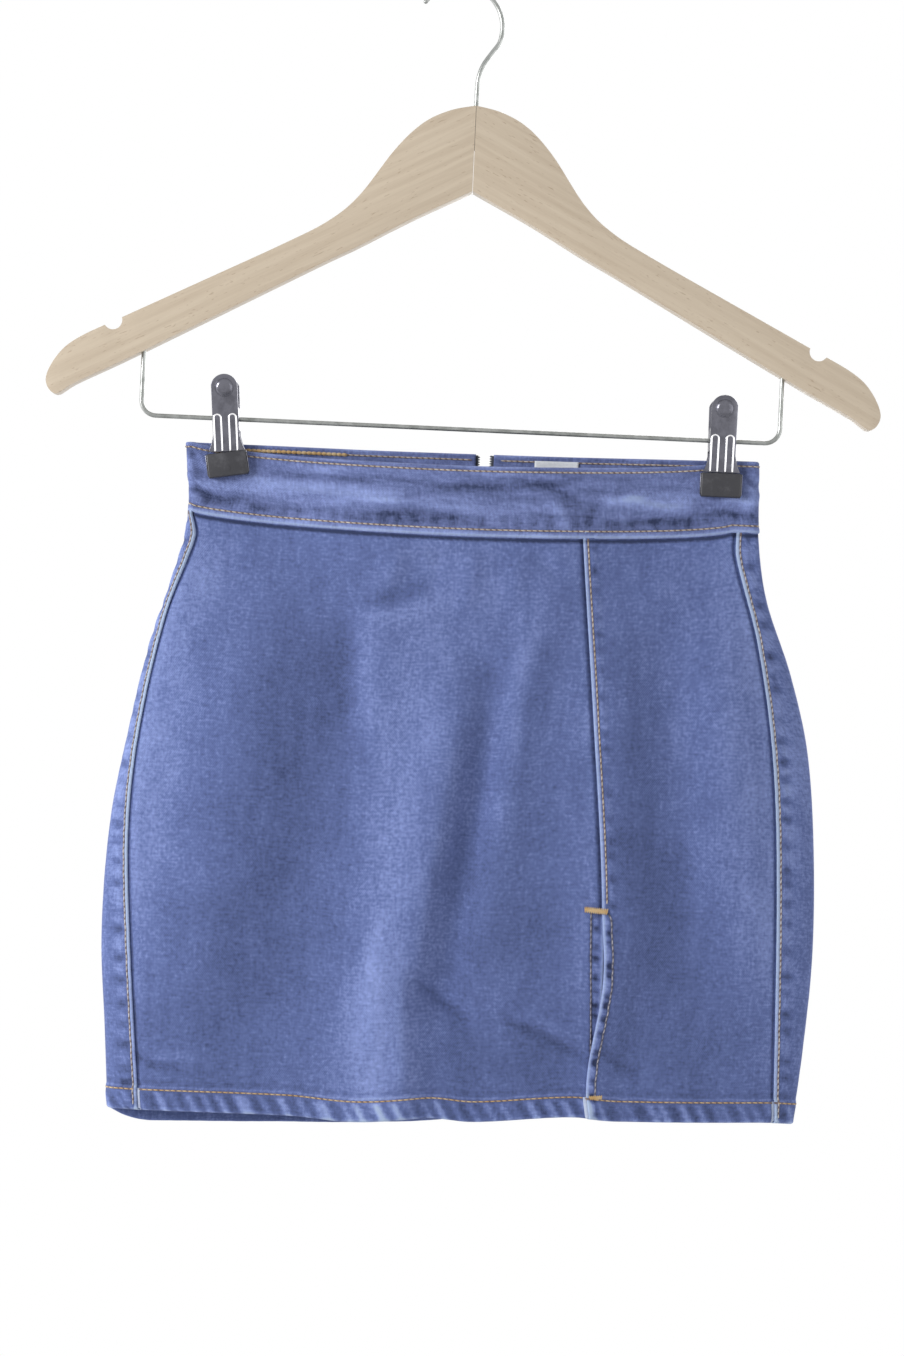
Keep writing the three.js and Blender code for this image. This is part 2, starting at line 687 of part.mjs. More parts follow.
// One arm with its rounded edges, less the strap notch and the holes for the hook and the bar.
function hangerArm(name, sign) {
  const inner = seamGap / 2;
  const place = (reach, height) => new THREE.Vector2(sign * reach, height);
  const top = armRows.map((row) => place(Math.max(inner, row.reach), row.top));
  const bottom = armRows.map((row) => place(Math.max(inner, row.reach), row.bottom));
  const tip = place(armTip.reach, armTip.height);
  const shape = new THREE.Shape();
  shape.moveTo(top[0].x, top[0].y);
  shape.splineThru([...top.slice(1), tip, ...bottom.reverse()]);
  shape.closePath();
  const body = new THREE.Mesh(new THREE.ExtrudeGeometry(shape, {
    depth: armThick - 2 * armEdge,
    bevelThickness: armEdge,
    bevelSize: armEdge,
    bevelOffset: -armEdge,
    bevelSegments: 2,
    curveSegments: 2,
  }));
  body.rotation.x = Math.PI / 2;
  body.position.set(hangerMiddle, armThick / 2 - armEdge, 0);

  const across = new THREE.Mesh(new THREE.CylinderGeometry(notchRadius, notchRadius, 2 * armThick, 20));
  across.position.set(hangerMiddle + sign * notchReach, 0, notchHeight);
  const drill = (x, from, to) => {
    const mesh = new THREE.Mesh(new THREE.CylinderGeometry(holeRadius, holeRadius, to - from, 12));
    mesh.rotation.x = Math.PI / 2;
    mesh.position.set(x, 0, (from + to) / 2);
    return mesh;
  };
  const shankHole = drill(hangerMiddle, shankBottom - seamGap, aboveArms);
  const legHole = drill(barMiddle + sign * barHalf, belowArms, legTop + seamGap);
  const holes = [across, shankHole, legHole].map(solidOf);
  const cut = holes.reduce((whole, hole) => whole.subtract(hole), solidOf(body));
  return piece(name, geometryOf(cut), wood);
}

// A clip, drawn with the bar's middle at its origin.
const clip = {
  headRise: 17, headRadius: 7.25, waist: 7, shoulder: -8, flare: 10, jawTop: -17.3, jawBottom: -30.2,
  jawWidth: 21.5, jawFace: 3.2, jawThick: 4.2, plate: 1.2, openDegrees: 7, hubInner: 2.1, hubOuter: 6.4,
  hubLength: 10,
};

function clipPlateShape() {
  const low = clip.jawTop + seamGap;
  const shape = new THREE.Shape();
  const start = Math.asin(clip.waist / clip.headRadius);
  shape.moveTo(-clip.flare, low);
  shape.lineTo(clip.flare, low);
  shape.quadraticCurveTo(clip.waist + 1, low + 4, clip.waist, clip.shoulder);
  shape.lineTo(clip.waist, clip.headRise);
  shape.absarc(0, clip.headRise, clip.headRadius, Math.PI / 2 - start, Math.PI / 2 + start, false);
  shape.lineTo(-clip.waist, clip.shoulder);
  shape.quadraticCurveTo(-clip.waist - 1, low + 4, -clip.flare, low);
  return shape;
}

function hangerClip(place) {
  const group = new THREE.Group();
  group.position.set(place.x, 0, place.z);
  group.rotation.y = radians(place.leanDegrees);
  const plateGeometry = new THREE.ExtrudeGeometry(clipPlateShape(), {
    depth: clip.plate,
    bevelEnabled: false,
    curveSegments: 8,
  });
  plateGeometry.rotateX(Math.PI / 2);
  plateGeometry.translate(0, clip.plate / 2, -(clip.jawTop + seamGap));
  const jawHeight = clip.jawTop - clip.jawBottom;
  const jawMiddle = clip.jawFace + clip.jawThick / 2;
  for (const { side, sign } of [{ side: 'front', sign: -1 }, { side: 'back', sign: 1 }]) {
    const plate = piece(`clip_${place.name}_plate_${side}`, plateGeometry, clipMetal);
    plate.position.set(0, sign * jawMiddle, clip.jawTop + seamGap);
    plate.rotation.x = -sign * radians(clip.openDegrees);
    const jaw = piece(
      `clip_${place.name}_jaw_${side}`,
      new THREE.BoxGeometry(clip.jawWidth, clip.jawThick, jawHeight),
      clipRubber,
    );
    jaw.position.set(0, sign * jawMiddle, (clip.jawTop + clip.jawBottom) / 2);
    group.add(plate, jaw);
  }
  const ring = [
    [clip.hubInner, -clip.hubLength / 2], [clip.hubOuter, -clip.hubLength / 2],
    [clip.hubOuter, clip.hubLength / 2], [clip.hubInner, clip.hubLength / 2],
    [clip.hubInner, -clip.hubLength / 2],
  ].map(([x, y]) => new THREE.Vector2(x, y));
  const hub = piece(`clip_${place.name}_spring`, new THREE.LatheGeometry(ring, 20), clipMetal);
  hub.rotation.z = Math.PI / 2;
  group.add(hub);
  return group;
}

const level = new THREE.Group();
level.rotation.y = radians(swingDegrees);
level.add(waistband(), ...skirtPanels(), innerLabel(), ...zipTapes(), ...zipHardware());
level.add(hangerArm('hanger_arm_left', -1), hangerArm('hanger_arm_right', 1), hangerHook(), hangerBar());
level.add(...clipPlaces.map(hangerClip));

const skirtOnHanger = new THREE.Group();
skirtOnHanger.add(level);

export default skirtOnHanger;
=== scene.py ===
import math

import bmesh
import bpy
import numpy as np
from mathutils import Matrix, Vector


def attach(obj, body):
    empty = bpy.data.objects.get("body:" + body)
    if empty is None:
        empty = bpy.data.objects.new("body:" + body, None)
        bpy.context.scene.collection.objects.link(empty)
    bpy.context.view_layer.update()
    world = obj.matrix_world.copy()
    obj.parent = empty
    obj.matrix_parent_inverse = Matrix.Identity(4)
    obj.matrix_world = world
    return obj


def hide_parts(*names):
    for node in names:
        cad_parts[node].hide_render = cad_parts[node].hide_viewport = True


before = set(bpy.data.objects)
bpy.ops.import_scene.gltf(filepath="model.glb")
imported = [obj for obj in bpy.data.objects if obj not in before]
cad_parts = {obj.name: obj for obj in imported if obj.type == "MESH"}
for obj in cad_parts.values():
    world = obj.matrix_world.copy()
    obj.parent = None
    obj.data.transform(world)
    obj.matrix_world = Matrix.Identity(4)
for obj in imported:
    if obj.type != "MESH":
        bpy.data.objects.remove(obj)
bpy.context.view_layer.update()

# The skirt and its hanger are drawn level and in millimetres, X to the right, the front towards -Y.
# toFrame then turns them with the hanger's swing and brings them to metres.
swingDegrees = 2.6
toFrame = Matrix.Rotation(math.radians(swingDegrees), 4, "Y") @ Matrix.Scale(0.001, 4)

skirt = {
    "bandTop": -247.7, "bandBottom": -285.5, "bandProud": 0.7, "bandThick": 2.6,
    "hemLine": -601.8, "hemProud": 0.6, "hemThick": 2.8,
    "clothThick": 1.2, "seamProud": 0.7, "seamGap": 0.3,
    "slitTop": -489, "slitLap": 3, "slitLift": 3.9, "slitLiftFull": -524, "slitLapFull": -580,
    "zipMiddle": 24.7, "zipBottom": -418,
}
pinch = {
    "left": -114.0, "right": 150.7, "half": 2.2, "reach": 13, "opens": 80, "top": -268, "low": -385,
}
sag = {
    "front": 8.2, "back": 0.6, "shape": 0.6, "pastLeft": 16, "pastRight": 6, "low": -480,
    "hemLeft": 8, "hemRight": 1, "hemFrom": -60, "hemTo": 90, "rounded": 0.5,
}
lensPower = 0.77

# Sections of the skirt: height, left and right silhouette, depth of front and back, rise of the right end.
sections = [
    (-247, -134.7, 170.5, 12, 9, 3.1),
    (-285, -131.8, 172.2, 15, 12, 1.6),
    (-320, -138.7, 178.0, 18, 16, 2.0),
    (-360, -150.6, 192.7, 21, 19, 2.6),
    (-400, -158.4, 203.4, 22, 21, 3.2),
    (-450, -166.2, 209.1, 22, 21, 4.0),
    (-510, -168.2, 211.2, 21, 20, 5.2),
    (-560, -164.2, 208.5, 20, 19, 6.6),
    (-604, -160.7, 204.4, 19, 18, 7.6),
]
# Seams of the front: height and place across.
leftSeamRows = [(-286, -129.6), (-298, -127.4), (-340, -140.8), (-402, -152.1), (-450, -155.4),
                (-500, -152.8), (-604, -143.0)]
rightSeamRows = [(-286, 160.2), (-298, 160.6), (-343, 173.3), (-405, 184.0), (-469, 189.0), (-604, 193.5)]
panelSeamRows = [(-286, 78.4), (-391, 88.2), (-481, 96.3), (-530, 97.4), (-586, 94.2), (-604, 96.7)]
slitEdgeRows = [(-286, 81.4), (-391, 91.2), (-481, 99.2), (-493, 98.6), (-530, 99.2), (-566, 98.8),
                (-604, 98.4)]
slitStitchRows = [(-481, 90.8), (-493, 91.3), (-566, 94.3), (-604, 95.0)]
frontHemRows = [(-160, 0), (-66, 0.2), (-30, 2.4), (10, -0.6), (34, 1), (85, -2.6), (112, -0.9), (204, -1.4)]
zipOpenRows = [(-428, 0.15), (-420, 2.35), (-297, 2.35), (-287, 4.8), (-247, 4.8)]

# Folds from the waist down: top, low, x at top, middle and low, left and right flank, height.
frontFolds = [
    (-300, -600, -92, -106, -140, 36, 36, 5),
    (-296, -600, -48, -58, -84, 30, 26, -4.5),
    (-325, -660, 34, 3, -6, 26, 12, 7),
    (-350, -570, 33, 22, 5, 10, 13, -4.5),
    (-300, -550, 60, 43, 36, 12, 14, 3.5),
    (-300, -560, 92, 102, 110, 24, 18, 3),
    (-310, -575, 122, 136, 146, 20, 18, -5),
    (-310, -540, 158, 170, 182, 22, 14, 3),
    (-518, -590, -8, 36, 90, 11, 11, -2.6),
]
backFolds = [
    (-310, -660, -74, -62, -66, 22, 30, 5),
    (-330, -660, 66, 54, 58, 28, 20, 5.5),
    (-430, -660, -12, -2, 6, 16, 20, -4),
    (-300, -500, 118, 108, 98, 18, 24, -3.5),
    (-300, -500, -104, -112, -116, 16, 18, -3),
]
# Smaller creases, each along a bent line: x and height at its start, middle and end, width, height.
frontCreases = [
    (30, -345, 29, -362, 31, -385, 11, -2.2),
    (-145, -528, -114, -546, -84, -562, 12, -1.8),
    (114, -548, 142, -561, 172, -582, 10, -1.6),
    (-26, -323, -14, -313, -2, -300, 7, -1.6),
    (-18, -292, -22, -308, -26, -330, 6, 1.2),
    (4, -292, 2, -306, -1, -322, 5, -1.0),
    (22, -292, 20, -308, 17, -328, 6, 1.3),
    (45, -292, 44, -306, 42, -324, 6, 1.0),
    (57, -290, 60, -299, 70, -306, 5, -1.0),
    (-100, -290, -92, -312, -90, -340, 12, 1.2),
    (128, -292, 122, -312, 112, -338, 12, 1.4),
    (-26, -524, -22, -545, -20, -575, 7, 0.9),
    (-6, -520, -5, -550, -6, -588, 5.5, 1.5),
    (2, -526, 14, -540, 30, -552, 6, -1.3),
    (60, -560, 76, -568, 90, -578, 7, -1.0),
    (-60, -575, -20, -570, 20, -578, 8, 0.8),
    (-48, -318, -46, -360, -42, -420, 10, -1.6),
    (-30, -325, -27, -365, -24, -420, 12, 1.1),
    (24, -400, 27, -435, 16, -485, 8, -1.6),
    (0, -518, -1, -546, -1, -574, 6, -1.7),
    (-16, -496, -18, -530, -16, -570, 9, 1.2),
    (106, -425, 124, -460, 146, -500, 14, -1.5),
    (152, -350, 160, -400, 164, -450, 14, 1.4),
    (-2, -526, 16, -541, 32, -551, 3, -0.9),
    (41, -545, 68, -558, 93, -572, 3, -0.9),
]
backCreases = [
    (-30, -296, -40, -318, -44, -350, 9, 1.4),
    (60, -296, 64, -320, 66, -352, 10, 1.3),
    (-88, -300, -60, -330, -30, -344, 9, -1.4),
    (128, -300, 100, -336, 62, -352, 10, -1.6),
    (-128, -540, -96, -556, -60, -562, 11, -1.7),
    (50, -548, 96, -562, 140, -572, 11, -1.6),
    (10, -440, 0, -470, -16, -500, 9, 1.2),
]
bandCreases = [
    (-104, -262, -60, -266, -14, -264, 4.5, 0.8),
    (-70, -274, -30, -277, 20, -275, 4, -0.6),
    (-20, -262, 20, -260, 48, -263, 4, -0.55),
    (52, -256, 70, -262, 92, -258, 3.2, -0.9),
    (58, -264, 66, -272, 70, -282, 3.5, 0.7),
    (86, -262, 84, -270, 80, -280, 3.2, -0.7),
    (96, -262, 118, -268, 138, -268, 4, 0.9),
    (100, -274, 124, -277, 164, -271, 3.4, -0.8),
    (-100, -270, -112, -276, -130, -272, 3.6, -0.8),
    (-98, -276, -114, -280, -131, -278, 3, 0.6),
    (-126, -252, -130, -260, -132, -268, 3, 0.5),
    (162, -254, 166, -262, 170, -268, 3, 0.6),
    (-134, -251, -129, -257, -125, -266, 2.3, -0.7),
    (-132, -268, -124, -274, -110, -280, 2.4, -0.7),
    (160, -251, 165, -258, 172, -262, 2.3, -0.8),
    (150, -264, 160, -268, 172, -270, 2.5, 0.8),
    (146, -271, 158, -275, 172, -277, 2.4, -0.7),
    (-92, -256, -60, -258, -34, -255, 2.4, -0.7),
    (-44, -270, -10, -268, 22, -271, 2.4, 0.7),
    (38, -253, 58, -256.5, 78, -253, 2.2, -1),
    (66, -259, 90, -265, 112, -261, 2.6, 0.8),
]
# Painted light and shade of the front's big folds, with some fading from washing, in broad bands written as
# the folds are: paler above 0 and darker below.
frontFoldShadeAndWash = [
    (-230, -560, -141, -150, -152, 18, 20, 0.45),
    (-250, -700, -64, -84, -118, 24, 26, -0.34),
    (-290, -720, -47, -44, -46, 26, 16, -0.22),
    (-420, -660, -126, -136, -146, 34, 34, -0.2),
    (-240, -700, 0, -14, -26, 26, 24, 0.3),
    (-420, -660, 34, 28, 26, 10, 12, -0.35),
    (-400, -760, 66, 60, 62, 12, 30, -0.3),
    (-330, -760, 110, 122, 130, 20, 20, -0.22),
    (-440, -640, 136, 148, 160, 18, 22, -0.3),
    (-250, -560, 162, 174, 188, 20, 24, 0.34),
]
# Small patches of painted shade and light, some of them fading from washing: x, height, half width, half
# height, paler above 0 and darker below.
frontShadeAndWashPatches = [
    (30, -361, 13, 10, -0.4), (60, -575, 40, 20, -0.2), (-70, -330, 30, 14, 0.15), (34, -318, 24, 16, 0.15),
    (-26, -572, 20, 34, 0.25), (88, -505, 7, 60, 0.3), (-124, -318, 12, 22, 0.3), (197, -410, 9, 36, 0.4),
]
# Painted shade and light along creases, with some fading from washing, written as the creases are.
frontCreaseShadeAndWash = [
    (-39, -324, -18, -319, 3, -307, 5, -0.55),
    (-38, -332, -16, -328, 6, -318, 5, 0.3),
    (-47, -330, -45, -360, -43, -395, 5, -0.35),
    (-36, -335, -34, -365, -32, -400, 5, 0.3),
    (60, -325, 48, -357, 45, -405, 5, 0.3),
    (70, -330, 58, -365, 54, -411, 5, -0.25),
    (-18, -488, -22, -520, -20, -560, 7, 0.35),
    (-3, -526, 16, -541, 32, -551, 2.5, -0.5),
    (41, -545, 68, -558, 93, -572, 2.5, -0.5),
    (46, -540, 72, -552, 95, -565, 3, 0.3),
    (98, -446, 122, -456, 144, -471, 9, -0.2),
    (-148, -570, -138, -577, -120, -579, 2.5, -0.6),
    (-142, -575, -124, -573, -104, -576, 2.5, 0.4),
    (96, -560, 110, -572, 124, -580, 3.5, -0.4),
]


def ease(start, end, value):
    share = np.clip((value - start) / (end - start), 0, 1)
    return share * share * (3 - 2 * share)


def smoothTable(rows, column=1):
    table = np.array(sorted(rows), float)
    at, value = table[:, 0], table[:, column]
    place = np.arange(len(at))
    before, after = np.maximum(place - 1, 0), np.minimum(place + 1, len(at) - 1)
    slope = (value[after] - value[before]) / (at[after] - at[before])

    def read(where):
        i = np.clip(np.searchsorted(at, where, side="right") - 1, 0, len(at) - 2)
        span = at[i + 1] - at[i]
        t = np.clip((where - at[i]) / span, 0, 1)
        straight = value[i] + (value[i + 1] - value[i]) * t * t * (3 - 2 * t)
        bent = t * (1 - t) * (1 - t) * span * slope[i] - t * t * (1 - t) * span * slope[i + 1]
        return straight + bent

    return read


leftEdge, rightEdge, frontDepth, backDepth, rightRise = (smoothTable(sections, i) for i in range(1, 6))
leftSeam, rightSeam = smoothTable(leftSeamRows), smoothTable(rightSeamRows)
panelSeam, frontHemDrop = smoothTable(panelSeamRows), smoothTable(frontHemRows)
slitEdge, slitStitch = smoothTable(slitEdgeRows), smoothTable(slitStitchRows)


def zipOpen(height):
    table = np.array(zipOpenRows, float)
    return np.interp(height, table[:, 0], table[:, 1])


def foldHeight(folds, x, height):
    total = np.zeros(np.broadcast(x, height).shape)
    for top, low, xTop, xMid, xLow, left, right, high in folds:
        along = np.clip((top - height) / (top - low), 0, 1)
        middle = ((1 - along) * (1 - 2 * along) * xTop + 4 * along * (1 - along) * xMid
                  + along * (2 * along - 1) * xLow)
        away = (x - middle) / math.hypot(1, (xLow - xTop) / (low - top))
        flank = np.where(away < 0, left, right)
        total += high * ease(0, 0.25, along) * (1 - ease(0.75, 1, along)) * np.exp(-(away / flank) ** 2)
    return total


def creaseHeight(creases, x, height):
    total = np.zeros(np.broadcast(x, height).shape)
    for x0, z0, x1, z1, x2, z2, width, high in creases:
        nearest = np.full(total.shape, 1e9)
        along = np.zeros(total.shape)
        for t in np.linspace(0, 1, 21):
            a, b, c = (1 - t) * (1 - 2 * t), 4 * t * (1 - t), t * (2 * t - 1)
            away = (x - a * x0 - b * x1 - c * x2) ** 2 + (height - a * z0 - b * z1 - c * z2) ** 2
            along = np.where(away < nearest, t, along)
            nearest = np.minimum(away, nearest)
        total += high * np.exp(-nearest / width ** 2) * (1 - np.abs(2 * along - 1) ** 3)
    return total


def openness(x, height):
    inner = np.minimum(x - pinch["left"], pinch["right"] - x) - pinch["reach"]
    return 1 - ease(pinch["low"], pinch["top"], height) * (1 - ease(0, pinch["opens"], inner))


def sagging(x, height, isFront, rounding):
    start = pinch["left"] - sag["pastLeft"]
    share = np.clip((x - start) / (pinch["right"] + sag["pastRight"] - start), 0, 1)
    waistSag = np.where(isFront, sag["front"], sag["back"]) * np.sin(np.pi * share) ** sag["shape"]
    backHem = sag["hemLeft"] + (sag["hemRight"] - sag["hemLeft"]) * ease(sag["hemFrom"], sag["hemTo"], x)
    hemDrop = np.where(isFront, frontHemDrop(x), backHem) * ease(0, sag["rounded"], rounding)
    return hemDrop + (waistSag - hemDrop) * ease(sag["low"], skirt["bandBottom"], height)


# The middle between the silhouettes and the reach to either side.
def spanAt(height):
    left, right = leftEdge(height), rightEdge(height)
    return (left + right) / 2, (right - left) / 2


# A point of the cloth: the angle goes round from the left silhouette over the front to the right one
# and on over the back, and out moves the point off the cloth's face.
def clothPoint(angle, height, out, creased=True):
    angle, height, out = np.broadcast_arrays(np.asarray(angle, float), height, out)
    middle, reach = spanAt(height)
    across = -np.cos(angle)
    isFront = np.sin(angle) >= 0
    rounding = np.abs(np.sin(angle))
    x = middle + (reach + out) * across
    faceX = middle + reach * across
    depth = np.where(isFront, frontDepth(height), backDepth(height))
    free = (depth + out) * rounding ** lensPower
    thin = np.maximum(0.05, pinch["half"] + out)
    past = np.maximum(0, np.abs(x - middle) - (reach + out - thin)) / thin
    pressed = thin * np.sqrt(np.maximum(0, 1 - past * past))
    folds = np.where(isFront, foldHeight(frontFolds, faceX, height), foldHeight(backFolds, faceX, height))
    if creased:
        folds = folds + np.where(isFront, creaseHeight(frontCreases, faceX, height),
                                 creaseHeight(backCreases, faceX, height))
    y = pressed + (free - pressed) * openness(faceX, height) + folds * np.sqrt(rounding)
    z = height + rightRise(height) * across / 2 - sagging(faceX, height, isFront, rounding)
    return np.stack([x, np.where(isFront, -y, y), z], axis=-1)


def frontAngle(x, height):
    middle, reach = spanAt(height)
    return np.arccos(np.clip((middle - x) / reach, -1, 1))


def backAngle(x, height):
    return 2 * np.pi - frontAngle(x, height)


# Angles of the columns of a shell, so that each keeps its distance from the shell's edges.
def columnsOf(first, last, heights, near, far, even):
    fine = np.linspace(0, 1, 400)
    angles = first[:, None] + (last - first)[:, None] * fine
    points = clothPoint(angles, heights[:, None], 0, creased=False)
    steps = np.linalg.norm(np.diff(points, axis=1), axis=2)
    lengths = np.concatenate([np.zeros((len(heights), 1)), np.cumsum(steps, axis=1)], axis=1)
    total = lengths[:, -1:]
    start, end = near[-1], total - far[-1]
    middle = start + (end - start) * np.arange(1, even) / even
    stops = np.concatenate([np.tile(near, (len(heights), 1)), middle, total - np.array(far[::-1])], axis=1)
    turned = np.array([np.interp(stops[i], lengths[i], angles[i]) for i in range(len(heights))])
    return turned, stops, total - stops


# Soft bumps at uneven steps along a seam.
def bumps(along, pitch, half, seed):
    rng = np.random.default_rng(seed)
    total = np.zeros(np.shape(along))
    for place in np.arange(-900, 900, pitch):
        centre = place + rng.uniform(-0.3, 0.3) * pitch
        high = rng.uniform(0.35, 1)
        total += high * np.exp(-((along - centre) / half) ** 2)
    return total


def edgeRound(distance, radius):
    inside = radius - np.clip(distance, 0, radius)
    return np.sqrt(np.maximum(0, radius ** 2 - inside ** 2)) - radius


def bell(value, centre, half):
    return np.exp(-((value - centre) / half) ** 2)


def linkObject(name, mesh, materials, body="root", replaced=()):
    piece = bpy.data.objects.new(name, mesh)
    bpy.context.scene.collection.objects.link(piece)
    mesh.materials.clear()
    for material in materials:
        mesh.materials.append(material)
    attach(piece, body)
    if replaced:
        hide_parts(*replaced)
    return piece


def smoothShaded(mesh, degrees=180):
    mesh.polygons.foreach_set("use_smooth", [True] * len(mesh.polygons))
    if degrees < 180:
        mesh.set_sharp_from_angle(angle=math.radians(degrees))


def meshFrom(bm, name):
    mesh = bpy.data.meshes.new(name)
    bm.to_mesh(mesh)
    bm.free()
    return mesh


# A column of values, repeated over a grid of columns.
def overColumns(values, grid):
    return np.broadcast_to(values[:, None], grid.shape)


def lengthDown(heights, out):
    return np.concatenate([[0], np.cumsum(np.hypot(np.diff(heights), np.diff(out)))])


# A grid of points becomes a mesh with its cloth map in metres, its wear with painted light, and its painted
# shade, from a flat grid.
def gridMesh(name, points, mapU, mapV, worn_and_painted_light, shaded):
    rows, columns = points.shape[:2]
    bm = bmesh.new()
    bmesh.ops.create_grid(bm, x_segments=columns - 1, y_segments=rows - 1, size=1)
    order = []
    for vert in bm.verts:
        column = round((vert.co.x + 1) / 2 * (columns - 1))
        row = round((vert.co.y + 1) / 2 * (rows - 1))
        order.append(row * columns + column)
        vert.co = toFrame @ Vector(points[row, column])
    bmesh.ops.reverse_faces(bm, faces=bm.faces)
    mesh = meshFrom(bm, name)
    order = np.array(order)
    corner = np.zeros(len(mesh.loops), int)
    mesh.loops.foreach_get("vertex_index", corner)
    cloth = np.stack([np.ravel(mapU)[order[corner]], np.ravel(mapV)[order[corner]]], axis=1) * 0.001
    mesh.uv_layers.new(name="cloth").data.foreach_set("uv", cloth.astype(np.float32).ravel())
    for title, value in (("worn_and_painted_light", worn_and_painted_light), ("shaded", shaded)):
        layer = mesh.attributes.new(title, "FLOAT", "POINT")
        layer.data.foreach_set("value", np.ravel(value)[order].astype(np.float32))
    smoothShaded(mesh)
    return mesh


def addThickness(piece, millimetres, edgeSlot=0):
    solid = piece.modifiers.new("thickness", "SOLIDIFY")
    solid.thickness = millimetres * 0.001
    solid.offset = -1
    solid.material_offset = 1
    solid.material_offset_rim = edgeSlot


# Materials

def feed(tree, node, inputs):
    for title, value in inputs.items():
        socket = node.inputs[title]
        if isinstance(value, bpy.types.NodeSocket):
            tree.links.new(value, socket)
        else:
            socket.default_value = value
    return node


def addNode(tree, kind, inputs=None, **settings):
    node = tree.nodes.new(kind)
    for title, value in settings.items():
        setattr(node, title, value)
    return feed(tree, node, inputs or {})


def calc(tree, operation, a, b=0.0, c=0.0):
    node = addNode(tree, "ShaderNodeMath", {0: a, 1: b}, operation=operation)
    if operation in ("MULTIPLY_ADD", "COMPARE", "SMOOTH_MIN"):
        node.inputs[2].default_value = c
    return node.outputs[0]


def spread(tree, value, low, high, outLow=0.0, outHigh=1.0):
    sockets = {"Value": value, "From Min": low, "From Max": high, "To Min": outLow, "To Max": outHigh}
    return addNode(tree, "ShaderNodeMapRange", sockets, interpolation_type="SMOOTHSTEP").outputs[0]


def mixColour(tree, share, a, b):
    return addNode(tree, "ShaderNodeMix", {0: share, 6: a, 7: b}, data_type="RGBA").outputs[2]


def stretched(tree, vector, scale, turn=0.0):
    node = addNode(tree, "ShaderNodeMapping", {"Vector": vector, "Scale": scale, "Rotation": (0, 0, turn)})
    return node.outputs[0]


def noise(tree, vector, scale, detail=2.0, roughness=0.55):
    sockets = {"Vector": vector, "Scale": scale, "Detail": detail, "Roughness": roughness}
    return addNode(tree, "ShaderNodeTexNoise", sockets).outputs[0]


def newGroup(name, inputs, outputs):
    tree = bpy.data.node_groups.new(name, "ShaderNodeTree")
    for title, kind in inputs:
        tree.interface.new_socket(title, in_out="INPUT", socket_type=kind)
    for title, kind in outputs:
        tree.interface.new_socket(title, in_out="OUTPUT", socket_type=kind)
    return tree, tree.nodes.new("NodeGroupInput").outputs, tree.nodes.new("NodeGroupOutput").inputs


def finishGroup(tree, sockets, results):
    for title, value in results.items():
        tree.links.new(value, sockets[title])


vectorSocket, colourSocket, numberSocket = "NodeSocketVector", "NodeSocketColor", "NodeSocketFloat"


# Twill of indigo warp over pale weft: fine diagonal wales, slubs along both yarns, flecks and a washed cloud.
def makeDenimWeave():
    tree, given, result = newGroup(
        "denimWeave",
        [("Vector", vectorSocket), ("Worn_And_Painted_Light", numberSocket), ("Shaded", numberSocket), ("Deep", colourSocket),
         ("Mid", colourSocket), ("Pale", colourSocket), ("Slub", numberSocket), ("Cloud", numberSocket),
         ("Streak", numberSocket)],
        [("Color", colourSocket), ("Height", numberSocket)])
    yarn = given["Vector"]
    place = addNode(tree, "ShaderNodeSeparateXYZ", {0: yarn}).outputs
    slope = calc(tree, "ADD", place[0], calc(tree, "MULTIPLY", place[1], 0.8))
    wales = calc(tree, "SINE", calc(tree, "MULTIPLY", slope, 2 * math.pi / 0.0011))
    warp = noise(tree, stretched(tree, yarn, (1250, 190, 1)), 1.0, 3.0)
    weft = noise(tree, stretched(tree, yarn, (210, 1050, 1)), 1.0, 2.0)
    grain = noise(tree, yarn, 500.0, 3.0, 0.6)
    ends = noise(tree, stretched(tree, yarn, (560, 90, 1)), 1.0, 3.0, 0.6)
    picks = noise(tree, stretched(tree, yarn, (120, 640, 1)), 1.0, 3.0, 0.6)
    cloud = noise(tree, stretched(tree, yarn, (42, 34, 1)), 1.0, 5.0, 0.65)
    streak = noise(tree, stretched(tree, yarn, (170, 24, 1)), 1.0, 2.0, 0.5)
    fleck = spread(tree, noise(tree, stretched(tree, yarn, (620, 420, 1)), 1.0, 1.0), 0.62, 0.8)
    tone = calc(tree, "MULTIPLY", wales, 0.05)
    for part, share in ((warp, given["Slub"]), (weft, given["Slub"]), (grain, 1.35), (ends, 0.5),
                        (picks, 0.7), (cloud, given["Cloud"]), (streak, given["Streak"])):
        tone = calc(tree, "ADD", tone, calc(tree, "MULTIPLY", calc(tree, "SUBTRACT", part, 0.5), share))
    tone = calc(tree, "ADD", tone, calc(tree, "MULTIPLY", fleck, 0.22))
    # Wear and painted light lift the tone; painted shade lowers it.
    tone = calc(tree, "ADD", tone, calc(tree, "MULTIPLY", given["Worn_And_Painted_Light"], 0.8))
    tone = calc(tree, "SUBTRACT", tone, calc(tree, "MULTIPLY", given["Shaded"], 0.6))
    low = addNode(tree, "ShaderNodeMapRange", {"Value": tone, "From Min": -1.1, "From Max": 0.0}).outputs[0]
    high = addNode(tree, "ShaderNodeMapRange", {"Value": tone, "From Min": 0.0, "From Max": 1.1}).outputs[0]
    colour = mixColour(tree, high, mixColour(tree, low, given["Deep"], given["Mid"]), given["Pale"])
    # The palest tones, from wear and from painted light, fade towards grey-blue.
    rubbed = spread(tree, given["Worn_And_Painted_Light"], 0.6, 1.6, 0.0, 0.75)
    colour = mixColour(tree, rubbed, colour, (0.42, 0.52, 0.66, 1))
    height = calc(tree, "ADD", calc(tree, "MULTIPLY", wales, 0.35), calc(tree, "MULTIPLY", warp, 0.7))
    finishGroup(tree, result, {"Color": colour, "Height": height})
    return tree


